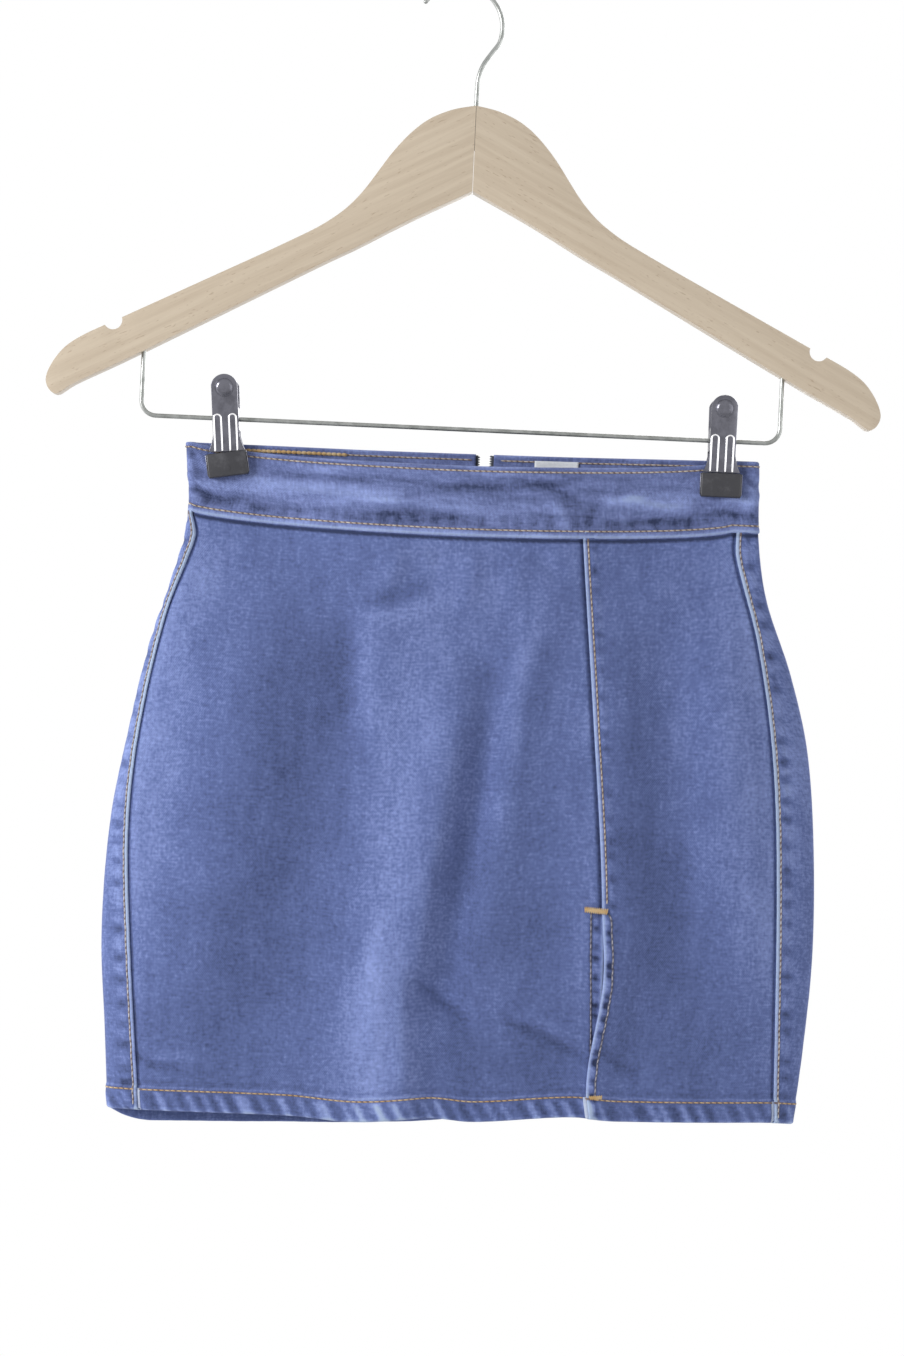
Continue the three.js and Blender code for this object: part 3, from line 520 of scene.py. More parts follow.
# Twisted sewing thread: a soft change of colour along it and a fine slanted twist.
def makeThreadTwist():
    tree, given, result = newGroup(
        "threadTwist",
        [("Vector", vectorSocket), ("Thread", colourSocket), ("Faded", colourSocket)],
        [("Color", colourSocket), ("Height", numberSocket)])
    place = addNode(tree, "ShaderNodeSeparateXYZ", {0: given["Vector"]}).outputs
    slant = calc(tree, "ADD", place[0], place[2])
    twist = calc(tree, "SINE", calc(tree, "MULTIPLY", slant, 2 * math.pi / 0.00035))
    fade = spread(tree, noise(tree, given["Vector"], 160.0, 3.0), 0.38, 0.66)
    colour = mixColour(tree, fade, given["Thread"], given["Faded"])
    finishGroup(tree, result, {"Color": colour, "Height": twist})
    return tree


# Pale wood: bands and fibres along X and short dark flecks.
def makeWoodGrain():
    tree, given, result = newGroup(
        "woodGrain",
        [("Vector", vectorSocket), *[(title, colourSocket) for title in ("Early", "Late", "Fleck")]],
        [("Color", colourSocket), ("Height", numberSocket), ("Shine", numberSocket)])
    along = given["Vector"]
    place = addNode(tree, "ShaderNodeSeparateXYZ", {0: along}).outputs
    wander = noise(tree, stretched(tree, along, (3.5, 26, 26)), 1.0, 2.0)
    rings = calc(tree, "ADD", place[2], calc(tree, "MULTIPLY", wander, 0.022))
    bands = calc(tree, "SINE", calc(tree, "MULTIPLY", rings, 2 * math.pi / 0.0062))
    fibre = noise(tree, stretched(tree, along, (16, 420, 420)), 1.0, 4.0, 0.65)
    fleck = spread(tree, noise(tree, stretched(tree, along, (230, 1400, 1400)), 1.0, 1.0), 0.66, 0.76)
    tone = calc(tree, "MULTIPLY_ADD", bands, 0.09, 0.45)
    tone = calc(tree, "ADD", tone, calc(tree, "MULTIPLY", calc(tree, "SUBTRACT", fibre, 0.5), 1.1))
    base = mixColour(tree, spread(tree, tone, 0.0, 1.0), given["Early"], given["Late"])
    colour = mixColour(tree, calc(tree, "MULTIPLY", fleck, 0.55), base, given["Fleck"])
    shine = spread(tree, fibre, 0.3, 0.7, 0.34, 0.5)
    finishGroup(tree, result, {"Color": colour, "Height": fibre, "Shine": shine})
    return tree


# Metal that hands and rails have rubbed: dull clouds and hair scratches.
def makeRubbedMetal():
    tree, given, result = newGroup(
        "rubbedMetal",
        [("Vector", vectorSocket), ("Bright", colourSocket), ("Dull", colourSocket),
         ("Polish", numberSocket)],
        [("Color", colourSocket), ("Roughness", numberSocket)])
    cloud = spread(tree, noise(tree, given["Vector"], 140.0, 4.0, 0.7), 0.35, 0.7)
    hairs = stretched(tree, given["Vector"], (2600, 2600, 160))
    scratch = spread(tree, noise(tree, hairs, 1.0, 2.0), 0.6, 0.72)
    colour = mixColour(tree, cloud, given["Bright"], given["Dull"])
    rough = calc(tree, "ADD", given["Polish"], calc(tree, "MULTIPLY", cloud, 0.12))
    rough = calc(tree, "ADD", rough, calc(tree, "MULTIPLY", scratch, 0.08))
    finishGroup(tree, result, {"Color": colour, "Roughness": rough})
    return tree


groups = {
    "denimWeave": makeDenimWeave(), "threadTwist": makeThreadTwist(),
    "woodGrain": makeWoodGrain(), "rubbedMetal": makeRubbedMetal(),
}


def newMaterial(name, colour):
    material = bpy.data.materials.new(name)
    material.use_nodes = True
    material.diffuse_color = (*colour[:3], 1)
    tree = material.node_tree
    return material, tree, tree.nodes["Principled BSDF"]


def placeGroup(tree, name, inputs):
    return addNode(tree, "ShaderNodeGroup", inputs, node_tree=groups[name]).outputs


def bumpOf(tree, height, distance, strength):
    sockets = {"Height": height, "Distance": distance, "Strength": strength}
    return addNode(tree, "ShaderNodeBump", sockets).outputs[0]


def objectPlace(tree):
    return addNode(tree, "ShaderNodeTexCoord").outputs["Object"]


def attributeOf(tree, name):
    return addNode(tree, "ShaderNodeAttribute", attribute_name=name).outputs["Fac"]


def denimMaterial(name, look):
    material, tree, shader = newMaterial(name, look["mid"])
    cloth = addNode(tree, "ShaderNodeUVMap", uv_map="cloth").outputs[0]
    sockets = {title: (*look[title.lower()], 1) for title in ("Deep", "Mid", "Pale")}
    sockets |= {title: look[title.lower()] for title in ("Slub", "Cloud", "Streak")}
    sockets |= {title: attributeOf(tree, title.lower()) for title in ("Worn_And_Painted_Light", "Shaded")}
    sockets["Vector"] = stretched(tree, cloth, (1, 1, 1), look["turn"])
    weave = placeGroup(tree, "denimWeave", sockets)
    feed(tree, shader, {
        "Base Color": weave["Color"], "Normal": bumpOf(tree, weave["Height"], 0.00025, look["bump"]),
        "Roughness": 0.88, "Specular IOR Level": 0.2, "Sheen Weight": 0.12, "Sheen Roughness": 0.5})
    return material


def threadMaterial(name, thread, faded):
    material, tree, shader = newMaterial(name, thread)
    twist = placeGroup(tree, "threadTwist", {
        "Vector": objectPlace(tree), "Thread": (*thread, 1), "Faded": (*faded, 1)})
    feed(tree, shader, {
        "Base Color": twist["Color"], "Normal": bumpOf(tree, twist["Height"], 0.0001, 0.5),
        "Roughness": 0.6, "Sheen Weight": 0.2})
    return material


def metalMaterial(name, bright, dull, polish):
    material, tree, shader = newMaterial(name, bright)
    rubbed = placeGroup(tree, "rubbedMetal", {
        "Vector": objectPlace(tree), "Bright": (*bright, 1), "Dull": (*dull, 1), "Polish": polish})
    feed(tree, shader, {"Base Color": rubbed["Color"], "Roughness": rubbed["Roughness"], "Metallic": 1.0})
    return material


def woodMaterial(name, lean):
    material, tree, shader = newMaterial(name, (0.6, 0.45, 0.3))
    turned = {"Vector": objectPlace(tree), "Rotation": (0, math.radians(lean), 0)}
    grain = placeGroup(tree, "woodGrain", {
        "Vector": addNode(tree, "ShaderNodeMapping", turned).outputs[0], "Early": (0.63, 0.535, 0.415, 1),
        "Late": (0.50, 0.405, 0.30, 1), "Fleck": (0.33, 0.23, 0.15, 1)})
    feed(tree, shader, {
        "Base Color": grain["Color"], "Normal": bumpOf(tree, grain["Height"], 0.00012, 0.35),
        "Roughness": grain["Shine"], "Coat Weight": 0.25, "Coat Roughness": 0.3})
    return material


# Cloth of one colour with a plain weave: the zip's tape and the label.
def wovenMaterial(name, colour, paler, pitch, roughness, sheen):
    material, tree, shader = newMaterial(name, colour)
    cloth = addNode(tree, "ShaderNodeUVMap", uv_map="cloth").outputs[0]
    place = addNode(tree, "ShaderNodeSeparateXYZ", {0: cloth}).outputs
    turns = 2 * math.pi / pitch
    over = calc(tree, "SINE", calc(tree, "MULTIPLY", place[0], turns))
    under = calc(tree, "SINE", calc(tree, "MULTIPLY", place[1], turns))
    weave = calc(tree, "MULTIPLY", over, under)
    tone = spread(tree, noise(tree, cloth, 500.0, 3.0), 0.3, 0.7)
    feed(tree, shader, {
        "Base Color": mixColour(tree, tone, (*colour, 1), (*paler, 1)),
        "Normal": bumpOf(tree, weave, 0.0001, 0.4), "Roughness": roughness, "Sheen Weight": sheen})
    return material


def rubberMaterial():
    material, tree, shader = newMaterial("jawRubber", (0.06, 0.06, 0.07))
    place = objectPlace(tree)
    dust = spread(tree, noise(tree, place, 160.0, 4.0, 0.7), 0.45, 0.8)
    feed(tree, shader, {
        "Base Color": mixColour(tree, dust, (0.028, 0.028, 0.034, 1), (0.075, 0.075, 0.085, 1)),
        "Normal": bumpOf(tree, noise(tree, place, 1400.0, 3.0), 0.0001, 0.3),
        "Roughness": spread(tree, dust, 0.0, 1.0, 0.42, 0.65)})
    return material


denimLook = {
    "deep": (0.030, 0.042, 0.105), "mid": (0.118, 0.160, 0.370), "pale": (0.31, 0.39, 0.74),
    "turn": 0.0, "slub": 0.5, "cloud": 0.8, "streak": 0.4, "bump": 0.6,
}
bandLook = dict(denimLook, mid=(0.15, 0.19, 0.405), turn=math.pi / 2, slub=0.7, cloud=1.1, streak=2.2)
insideLook = dict(denimLook, deep=(0.12, 0.15, 0.28), mid=(0.33, 0.38, 0.55), pale=(0.52, 0.56, 0.70),
                  cloud=0.3)

denim = denimMaterial("denimFace", denimLook)
denimBand = denimMaterial("denimBandFace", bandLook)
denimInside = denimMaterial("denimInside", insideLook)
goldThread = threadMaterial("goldThread", (0.55, 0.34, 0.13), (0.66, 0.49, 0.27))
tanThread = threadMaterial("tanThread", (0.50, 0.41, 0.31), (0.66, 0.58, 0.48))
dullThread = threadMaterial("dullThread", (0.46, 0.43, 0.42), (0.60, 0.57, 0.56))
greyThread = threadMaterial("greyThread", (0.24, 0.23, 0.28), (0.42, 0.40, 0.44))
# The two darkest threads only make the beds under stitches, painted shade of the stitch grooves.
stitchShadeInk = threadMaterial("stitchShadeInk", (0.06, 0.06, 0.10), (0.11, 0.11, 0.16))
stitchShadeBrown = threadMaterial("stitchShadeBrown", (0.14, 0.10, 0.10), (0.24, 0.18, 0.18))
tapeCloth = wovenMaterial("zipTapeCloth", (0.024, 0.028, 0.045), (0.05, 0.056, 0.075), 0.0008, 0.8, 0.2)
labelCloth = wovenMaterial("labelCloth", (0.70, 0.73, 0.78), (0.80, 0.82, 0.86), 0.0006, 0.55, 0.3)
zipNickel = metalMaterial("zipNickel", (0.55, 0.55, 0.56), (0.36, 0.36, 0.38), 0.22)
clipSteel = metalMaterial("clipSteel", (0.17, 0.17, 0.20), (0.11, 0.11, 0.13), 0.16)
clipBright = metalMaterial("clipBright", (0.95, 0.95, 0.96), (0.86, 0.86, 0.88), 0.10)
wireSteel = metalMaterial("wireSteel", (0.36, 0.37, 0.36), (0.22, 0.23, 0.22), 0.28)
woodLeft = woodMaterial("hangerWoodLeft", 24.9)
woodRight = woodMaterial("hangerWoodRight", -30.1)
jawRubber = rubberMaterial()
print("materials made")

# Panels of the skirt. Rows go from just inside the waistband down to the hem, round its fold and up inside.

def panelRows():
    top, hem, half = skirt["bandBottom"], skirt["hemLine"], skirt["hemThick"] / 2
    body = np.concatenate([top + np.array([4, 2, 0.3]), np.linspace(top - 1, hem + 13.4, 168)])
    turned = hem + np.array([12.6, 12.0, 11.5, 10.9, 10.2, 9.2, 8.0, 6.8, 5.6, 4.4, 3.4, 2.4])
    bend = np.linspace(0, np.pi, 9)
    inside = hem + np.array([2.6, 4, 6, 8, 10, 11.6])
    heights = np.concatenate([body, turned, hem + half - half * np.sin(bend), inside])
    proud = skirt["hemProud"] * (1 - ease(hem + 11.4, hem + 13.2, np.concatenate([body, turned])))
    within = skirt["hemProud"] - 2 * half
    out = np.concatenate([proud, skirt["hemProud"] - half + half * np.cos(bend),
                          np.full(len(inside), within)])
    isInner = np.concatenate([np.zeros(len(body) + len(turned)), bend > np.pi / 2, np.ones(len(inside))])
    return heights, out, isInner.astype(bool), lengthDown(heights, out)


seam = {
    "fade": (5.5, 8.0), "round": 0.7, "groove": 0.32, "grooveHalf": 0.8, "pitch": 11.5, "bumpHalf": 2.5,
    "dent": 0.5, "under": 2.6, "tuck": 1.0,
}


# A turned edge that lies on top: its fold is rubbed pale, and the cloth puckers beside its stitches, with
# painted shade in the puckers' hollows and along the stitch groove.
def foldedEdge(distance, along, stitch, seed, strength=1.0, beside=3.0, width=2.6, line=0.5):
    pucker = bumps(along, seam["pitch"], seam["bumpHalf"], seed)
    near = bell(distance, stitch + beside, width)
    out = skirt["seamProud"] * (1 - ease(*seam["fade"], distance)) + edgeRound(distance, seam["round"])
    out = out - seam["groove"] * bell(distance, stitch, seam["grooveHalf"])
    out = out - strength * seam["dent"] * pucker * near
    worn_and_painted_light = 1.15 * bell(distance, 0.5, 1.4) + 0.35 * (1 - pucker) * near
    shaded = strength * 1.1 * pucker * bell(distance, stitch + beside, 0.8 * width)
    return out, worn_and_painted_light, shaded + line * bell(distance, stitch, 0.8)


# The edge below, which runs on under its neighbour, with painted shade in the crease where it goes under.
def tuckedEdge(distance):
    out = -seam["tuck"] * (1 - ease(-0.2, 2.2, distance))
    return out, 0.12 * bell(distance, 4, 2.5), 1.1 * bell(distance, 0.5, 1.1)


def slitShare(height):
    return 1 - ease(skirt["slitTop"] - 6, skirt["slitTop"] - 1, height)


def underReach(height):
    return slitEdge(height) - panelSeam(height)


def lapLift(height):
    return skirt["slitLift"] * (1 - ease(skirt["slitLiftFull"], skirt["slitTop"], height))


def lapReach(height):
    return skirt["slitLap"] * (1 - ease(skirt["slitLapFull"], skirt["slitLiftFull"] - 2, height))


def frontPanelEdges(stop, fromEnd, height):
    out, worn_and_painted_light, shaded = tuckedEdge(stop - seam["under"])
    share = slitShare(height)
    under = tuckedEdge(fromEnd - underReach(height))
    over = foldedEdge(fromEnd, 1.45 * height, slitEdge(height) - slitStitch(height), 21, 3.2, -2.6, 2.4, 1.6)
    raised = 1 - ease(skirt["slitLiftFull"] + 10, skirt["slitTop"] - 2, height)
    out = out + under[0] * (1 - raised) + over[0] * raised
    worn_and_painted_light = worn_and_painted_light + under[1] * (1 - share) + over[1] * share
    shaded = shaded + under[2] * (1 - share) + over[2] * share
    return out, worn_and_painted_light, shaded


def sidePanelEdges(stop, fromEnd, height):
    out, worn_and_painted_light, shaded = tuckedEdge(fromEnd - seam["under"])
    share = slitShare(height)
    seamed = foldedEdge(stop, height, 2.5, 22)
    slitted = foldedEdge(stop, 1.45 * height, 4.6, 27, 3.0, -1.6, 1.8, 1.3)
    over = [a * (1 - share) + b * share for a, b in zip(seamed, slitted)]
    lifted = lapLift(height) * (1 - ease(4, 24, stop))
    return out + over[0] + lifted, worn_and_painted_light + over[1], shaded + over[2]


def backEdges(fromSide, fromZip, height, seed):
    side = foldedEdge(fromSide, height, 2.0, seed, 1.6, 4.2, 4.0)
    zipSide = foldedEdge(fromZip, height, 6.0, seed + 1, 0.6)
    return [a + b for a, b in zip(side, zipSide)]


# The hem's roping: slanting ridges, rubbed pale on top, with painted shade between them; painted shade also
# lines the stitches and the cloth just above the turned edge.
def hemRoping(along, height, isInner, seed):
    hem, outer = skirt["hemLine"], np.where(isInner, 0, 1)
    window = (1 - ease(hem + 8.2, hem + 10.8, height)) * outer
    ropes = bumps(along + 0.55 * (height - hem), 8.4, 2.3, seed)
    stitched = bell(height, hem + 10.9, 0.8)
    out = window * (ropes - 0.45) * 0.6 - outer * 0.35 * stitched
    worn_and_painted_light = window * ropes + outer * 0.5 * (1 - ease(hem + 0.4, hem + 2.2, height))
    worn_and_painted_light = worn_and_painted_light + outer * 0.45 * bell(height, hem + 12.5, 0.9)
    edge = outer * (0.6 * bell(height, hem + 14.3, 1.2) + 0.5 * stitched)
    return out, worn_and_painted_light, window * np.clip(0.7 - ropes, 0, 1) * 1.1 + edge


# Painted light and shade of the front's folds and creases, with some fading from washing, on the front face
# only.
def paintedFoldShadeAndWashOf(points, height):
    shadeAndWash = foldHeight(frontFoldShadeAndWash, points[..., 0], height) + creaseHeight(frontCreaseShadeAndWash, points[..., 0], height)
    for x, z, halfWide, halfHigh, amount in frontShadeAndWashPatches:
        shadeAndWash += amount * np.exp(-((points[..., 0] - x) / halfWide) ** 2 - ((height - z) / halfHigh) ** 2)
    return np.where(points[..., 1] < 0, shadeAndWash, 0)


shells = {}


def keepShell(name, points, heights, stop, fromEnd, facing):
    across, down = np.gradient(points, axis=1), np.gradient(points, axis=0)
    normal = np.cross(down, across)
    normal /= np.linalg.norm(normal, axis=2, keepdims=True) + 1e-12
    shells[name] = {"points": points, "normal": normal, "heights": heights, "stop": stop,
                    "fromEnd": fromEnd, "facing": facing}


def makePanel(name, plan):
    heights, rowOut, isInner, length = panelRows()
    angle, stop, fromEnd = columnsOf(plan["first"](heights), plan["last"](heights), heights,
                                     plan["near"], plan["far"], plan["even"])
    height, inner = overColumns(heights, stop), overColumns(isInner, stop)
    along = plan["across"](stop, fromEnd, height)
    out, worn_and_painted_light, shaded = plan["edges"](stop, fromEnd, height)
    rope, ropeWorn, ropeShaded = hemRoping(along, height, inner, plan["seed"])
    points = clothPoint(angle, height, rowOut[:, None] + out + rope)
    # Painted shadow in a line under the waistband's lower edge; the front also takes painted fold light and
    # shade, with some fading from washing.
    shadowUnderBand = 2.8 * bell(height, skirt["bandBottom"] - 0.8, 0.8)
    worn_and_painted_light, shaded = worn_and_painted_light + ropeWorn + paintedFoldShadeAndWashOf(points, height), shaded + ropeShaded + shadowUnderBand
    keepShell(name, points, heights, stop, fromEnd, ~isInner)
    mesh = gridMesh(name + "_cloth", points, along, -overColumns(length, stop), worn_and_painted_light, shaded)
    piece = linkObject(name + "_cloth", mesh, [denim, denimInside], replaced=[name])
    addThickness(piece, skirt["clothThick"] - 0.1)


edgeStops = [0, 0.18, 0.4, 0.7, 1.1, 1.7, 2.4, 3.2, 4.2, 5.4, 6.8, 8.4]
tuckStops = [0, 1.3, 2.3, 2.8, 3.3, 3.9, 4.6, 5.6, 7.0, 8.6]
gap = skirt["seamGap"] / 2
panelPlans = {
    "front_panel": {
        "first": lambda h: frontAngle(leftSeam(h) - seam["under"], h),
        "last": lambda h: frontAngle(slitEdge(h), h),
        "near": tuckStops, "far": edgeStops, "even": 128, "edges": frontPanelEdges, "seed": 31,
        "across": lambda stop, fromEnd, h: stop + leftSeam(h),
    },
    "side_front_panel": {
        "first": lambda h: frontAngle(panelSeam(h) + gap - lapReach(h), h),
        "last": lambda h: frontAngle(rightSeam(h) + seam["under"], h),
        "near": edgeStops, "far": tuckStops, "even": 48, "edges": sidePanelEdges, "seed": 32,
        "across": lambda stop, fromEnd, h: stop + panelSeam(h),
    },
    "back_panel_right": {
        "first": lambda h: frontAngle(rightSeam(h) + gap, h),
        "last": lambda h: backAngle(skirt["zipMiddle"] + zipOpen(h), h),
        "near": edgeStops, "far": edgeStops, "even": 112, "seed": 33,
        "edges": lambda stop, fromEnd, h: backEdges(stop, fromEnd, h, 23),
        "across": lambda stop, fromEnd, h: 500 - fromEnd,
    },
    "back_panel_left": {
        "first": lambda h: backAngle(skirt["zipMiddle"] - zipOpen(h), h) - 2 * np.pi,
        "last": lambda h: frontAngle(leftSeam(h) - gap, h),
        "near": edgeStops, "far": edgeStops, "even": 112, "seed": 34,
        "edges": lambda stop, fromEnd, h: backEdges(fromEnd, stop, h, 25),
        "across": lambda stop, fromEnd, h: 500 + stop,
    },
}
for name, plan in panelPlans.items():
    makePanel(name, plan)
print("panels made")

# The waistband: one folded strip, open at the zip.

band = {
    "topStitch": 2.2, "lowStitch": 3.9, "groove": 0.3, "grooveHalf": 0.7, "even": 326,
    "edgeStops": [0, 0.3, 0.7, 1.3, 2.2, 3.6], "dent": 0.4, "puff": 0.2, "backShift": 38,
}


def bandProfile():
    top, low, half = skirt["bandTop"], skirt["bandBottom"], skirt["bandThick"] / 2
    centre = skirt["bandProud"] - half
    bend = np.linspace(0, np.pi, 9)
    outer = np.linspace(top - half, low + half, 26)
    inner = np.linspace(low + half, top - half, 20)
    heights = np.concatenate([outer, low + half - half * np.sin(bend[1:-1]), inner,
                              top - half + half * np.sin(bend[1:])])
    out = np.concatenate([np.full(26, centre + half), centre + half * np.cos(bend[1:-1]),
                          np.full(20, centre - half), centre - half * np.cos(bend[1:])])
    return heights, out, centre


def makeWaistband():
    heights, rowOut, centre = bandProfile()
    first = backAngle(skirt["zipMiddle"] - zipOpen(heights), heights) - 2 * np.pi
    last = backAngle(skirt["zipMiddle"] + zipOpen(heights), heights)
    angle, stop, fromEnd = columnsOf(first, last, heights, band["edgeStops"], band["edgeStops"], band["even"])
    height, outside = overColumns(heights, stop), overColumns(rowOut > centre, stop)
    place = clothPoint(angle, height, 0, creased=False)
    isFront = place[..., 1] < 0
    crease = np.where(isFront, 1.5 * creaseHeight(bandCreases, place[..., 0], height),
                      1.2 * creaseHeight(bandCreases, band["backShift"] - place[..., 0], height))
    highStitch, lowStitch = skirt["bandTop"] - band["topStitch"], skirt["bandBottom"] + band["lowStitch"]
    spots = bumps(stop, 9.0, 2.4, 41) * bell(height, lowStitch + 4.0, 3.2)
    groove = band["groove"] * (bell(height, highStitch, band["grooveHalf"])
                               + bell(height, lowStitch, band["grooveHalf"]))
    side = np.where(outside, 1, -1)
    shape = side * (band["puff"] * bell(height, skirt["bandBottom"] + 1.8, 1.5) - groove)
    shape = shape - np.where(outside, band["dent"] * spots, 0)
    ends = edgeRound(np.minimum(stop, fromEnd), 1.0) * side
    points = clothPoint(angle, height, rowOut[:, None] + shape + crease + ends, creased=False)
    rubbedTop = ease(highStitch + 0.6, skirt["bandTop"], height)
    worn_and_painted_light = 1.1 * bell(height, skirt["bandBottom"] + 1.2, 1.6) + 0.6 * rubbedTop
    worn_and_painted_light = worn_and_painted_light + np.where(outside, 0.7 * np.clip(crease, 0, 1.5), 0)
    # Painted shade along both stitch grooves, in the pucker hollows above the lower stitches, in the creases'
    # troughs and over the band's inside.
    lines = bell(height, highStitch, 0.8) + bell(height, lowStitch, 0.8)
    shaded = 0.6 * lines + np.where(outside, 1.2 * spots + 0.9 * np.clip(-crease, 0, 1.5), 0.25)
    keepShell("waistband", points, heights, stop, fromEnd, rowOut > centre)
    down = -overColumns(lengthDown(heights, rowOut), stop)
    mesh = gridMesh("waistband_cloth", points, stop, down, worn_and_painted_light, shaded)
    bm = bmesh.new()
    bm.from_mesh(mesh)
    bmesh.ops.remove_doubles(bm, verts=bm.verts, dist=1e-6)
    bmesh.ops.holes_fill(bm, edges=[edge for edge in bm.edges if edge.is_boundary], sides=0)
    bmesh.ops.triangulate(bm, faces=[face for face in bm.faces if len(face.verts) > 4])
    bm.to_mesh(mesh)
    bm.free()
    smoothShaded(mesh)
    return linkObject("waistband_cloth", mesh, [denimBand], replaced=["waistband"])


waistband = makeWaistband()
print("waistband made")

# Stitches: one small thread shape, repeated along lines on the shells.

stitchLook = {
    "pitch": 3.1, "length": 2.4, "width": 0.8, "thick": 0.6, "rise": 0.2, "slantDegrees": 6, "start": 0.5,
    "aimReach": 0.8,
}
# The bed under each row of stitches: a dark thread, wider and longer, that stands in for painted shade in the
# stitch grooves.
shadeBedLook = dict(stitchLook, length=3.3, width=1.3, thick=0.5, rise=0.02, start=0.0)


def threadShape():
    bm = bmesh.new()
    bmesh.ops.create_uvsphere(bm, u_segments=6, v_segments=5, radius=1)
    points = np.array([vert.co for vert in bm.verts], float)
    faces = [[vert.index for vert in face.verts] for face in bm.faces]
    bm.free()
    return points, faces


def resample(line, pitch, start):
    steps = np.linalg.norm(np.diff(line, axis=0), axis=1)
    length = np.concatenate([[0], np.cumsum(steps)])
    count = max(1, int(length[-1] // pitch))
    places = (np.arange(count) + start) * length[-1] / count
    return places, length


def stitchesAlong(line, normal, look=stitchLook):
    places, length = resample(line, look["pitch"], look["start"])

    def read(values, where):
        return np.stack([np.interp(where, length, values[:, i]) for i in range(3)], axis=1)

    at, up = read(line, places), read(normal, places)
    ahead = read(line, places + look["aimReach"]) - read(line, places - look["aimReach"])
    up /= np.linalg.norm(up, axis=1, keepdims=True)
    ahead -= up * np.sum(ahead * up, axis=1, keepdims=True)
    ahead /= np.linalg.norm(ahead, axis=1, keepdims=True)
    side = np.cross(ahead, up)
    slant = math.radians(look["slantDegrees"])
    ahead, side = (ahead * math.cos(slant) + side * math.sin(slant),
                   side * math.cos(slant) - ahead * math.sin(slant))
    shape = np.zeros((len(places), 3, 4))
    shape[:, :, 0] = side * look["width"] / 2
    shape[:, :, 1] = up * look["thick"] / 2
    shape[:, :, 2] = ahead * look["length"] / 2
    shape[:, :, 3] = at + up * look["rise"]
    return shape


def makeThreads(name, shapes, material):
    points, faces = threadShape()
    shapes = np.concatenate(shapes)
    placed = np.einsum("nij,kj->nki", shapes[:, :, :3], points) + shapes[:, None, :, 3]
    allFaces = [[corner + i * len(points) for corner in face] for i in range(len(shapes)) for face in faces]
    mesh = bpy.data.meshes.new(name)
    mesh.from_pydata(placed.reshape(-1, 3).tolist(), [], allFaces)
    mesh.transform(toFrame)
    bm = bmesh.new()
    bm.from_mesh(mesh)
    bmesh.ops.recalc_face_normals(bm, faces=bm.faces)
    bm.to_mesh(mesh)
    bm.free()
    smoothShaded(mesh)
    return linkObject(name, mesh, [material])


# A line down a shell at a distance from its first or last edge.
def lineDown(name, distance, top, low, fromLast=False):
    shell = shells[name]
    rows = [i for i, h in enumerate(shell["heights"]) if shell["facing"][i] and low <= h <= top]
    line, normal = [], []
    turn = -1 if fromLast else 1
    for i in rows:
        stop = shell["fromEnd" if fromLast else "stop"][i][::turn]
        points, normals = shell["points"][i][::turn], shell["normal"][i][::turn]
        where = distance(shell["heights"][i]) if callable(distance) else distance
        line.append([np.interp(where, stop, points[:, k]) for k in range(3)])
        normal.append([np.interp(where, stop, normals[:, k]) for k in range(3)])
    return np.array(line), np.array(normal)


# A line across a shell at one height, between distances from its two edges.
def lineAcross(name, height, facing=True, first=0.6, last=0.6):
    shell = shells[name]
    rows = [i for i in range(len(shell["heights"])) if bool(shell["facing"][i]) == facing]
    row = min(rows, key=lambda i: abs(shell["heights"][i] - height))
    keep = (shell["stop"][row] >= first) & (shell["fromEnd"][row] >= last)
    return shell["points"][row][keep], shell["normal"][row][keep]


# A seam: pale stitches on a bed of darker thread that shows between them, painted shade of the stitch grooves
# and holes.
def makeSeam(name, lines, material, shadeBedMaterial=stitchShadeBrown):
    makeThreads(name, [stitchesAlong(*line) for line in lines], material)
    makeThreads(name + "_shade_bed", [stitchesAlong(*line, shadeBedLook) for line in lines], shadeBedMaterial)


def makeSeamThreads():
    hem, top = skirt["hemLine"] + 10.9, skirt["bandBottom"] - 1
    slit = skirt["slitTop"]
    makeSeam("stitches_hem", [lineAcross(name, hem) for name in panelPlans], goldThread)
    makeSeam("stitches_side_left", [lineDown("back_panel_left", 2.0, top, hem - 9, True)], dullThread)
    makeSeam("stitches_side_right", [lineDown("back_panel_right", 2.0, top, hem - 9)], dullThread)
    rightStop = lambda h: 2.5 + 2.1 * slitShare(h)
    seamLine = lineDown("side_front_panel", rightStop, top, slit + 1)
    rightLine = lineDown("side_front_panel", rightStop, slit - 2, hem)
    leftLine = lineDown("front_panel", lambda h: slitEdge(h) - slitStitch(h), slit - 3, hem, True)
    makeSeam("stitches_front_seam", [seamLine], tanThread)
    makeSeam("stitches_slit", [leftLine, rightLine], greyThread, stitchShadeInk)
    zipLines = [lineDown("back_panel_right", 6.0, top, skirt["zipBottom"] - 6, True),
                lineDown("back_panel_left", 6.0, top, skirt["zipBottom"] - 6),
                lineDown("back_panel_left", 2.2, skirt["zipBottom"] - 12, hem)]
    makeSeam("stitches_back", zipLines, tanThread)


def makeBandThreads():
    high, low = skirt["bandTop"] - band["topStitch"], skirt["bandBottom"] + band["lowStitch"]
    lines = [lineAcross("waistband", height, True, 1.5, 1.5) for height in (high, low)]
    makeSeam("stitches_band", lines, tanThread)
    inner = lineAcross("waistband", high - 0.6, False, 2.5, 2.5)
    innerLow = lineAcross("waistband", low, False, 2.5, 2.5)
    makeSeam("stitches_band_inside", [inner, innerLow], tanThread)
    looper = dict(stitchLook, width=2.2, thick=1.1, length=3.3, pitch=2.6)
    points, normal = inner
    thick = (points[:, 1] > 0) & (points[:, 0] > -112) & (points[:, 0] < -48)
    makeThreads("stitches_band_looper", [stitchesAlong(points[thick], normal[thick], looper)], goldThread)


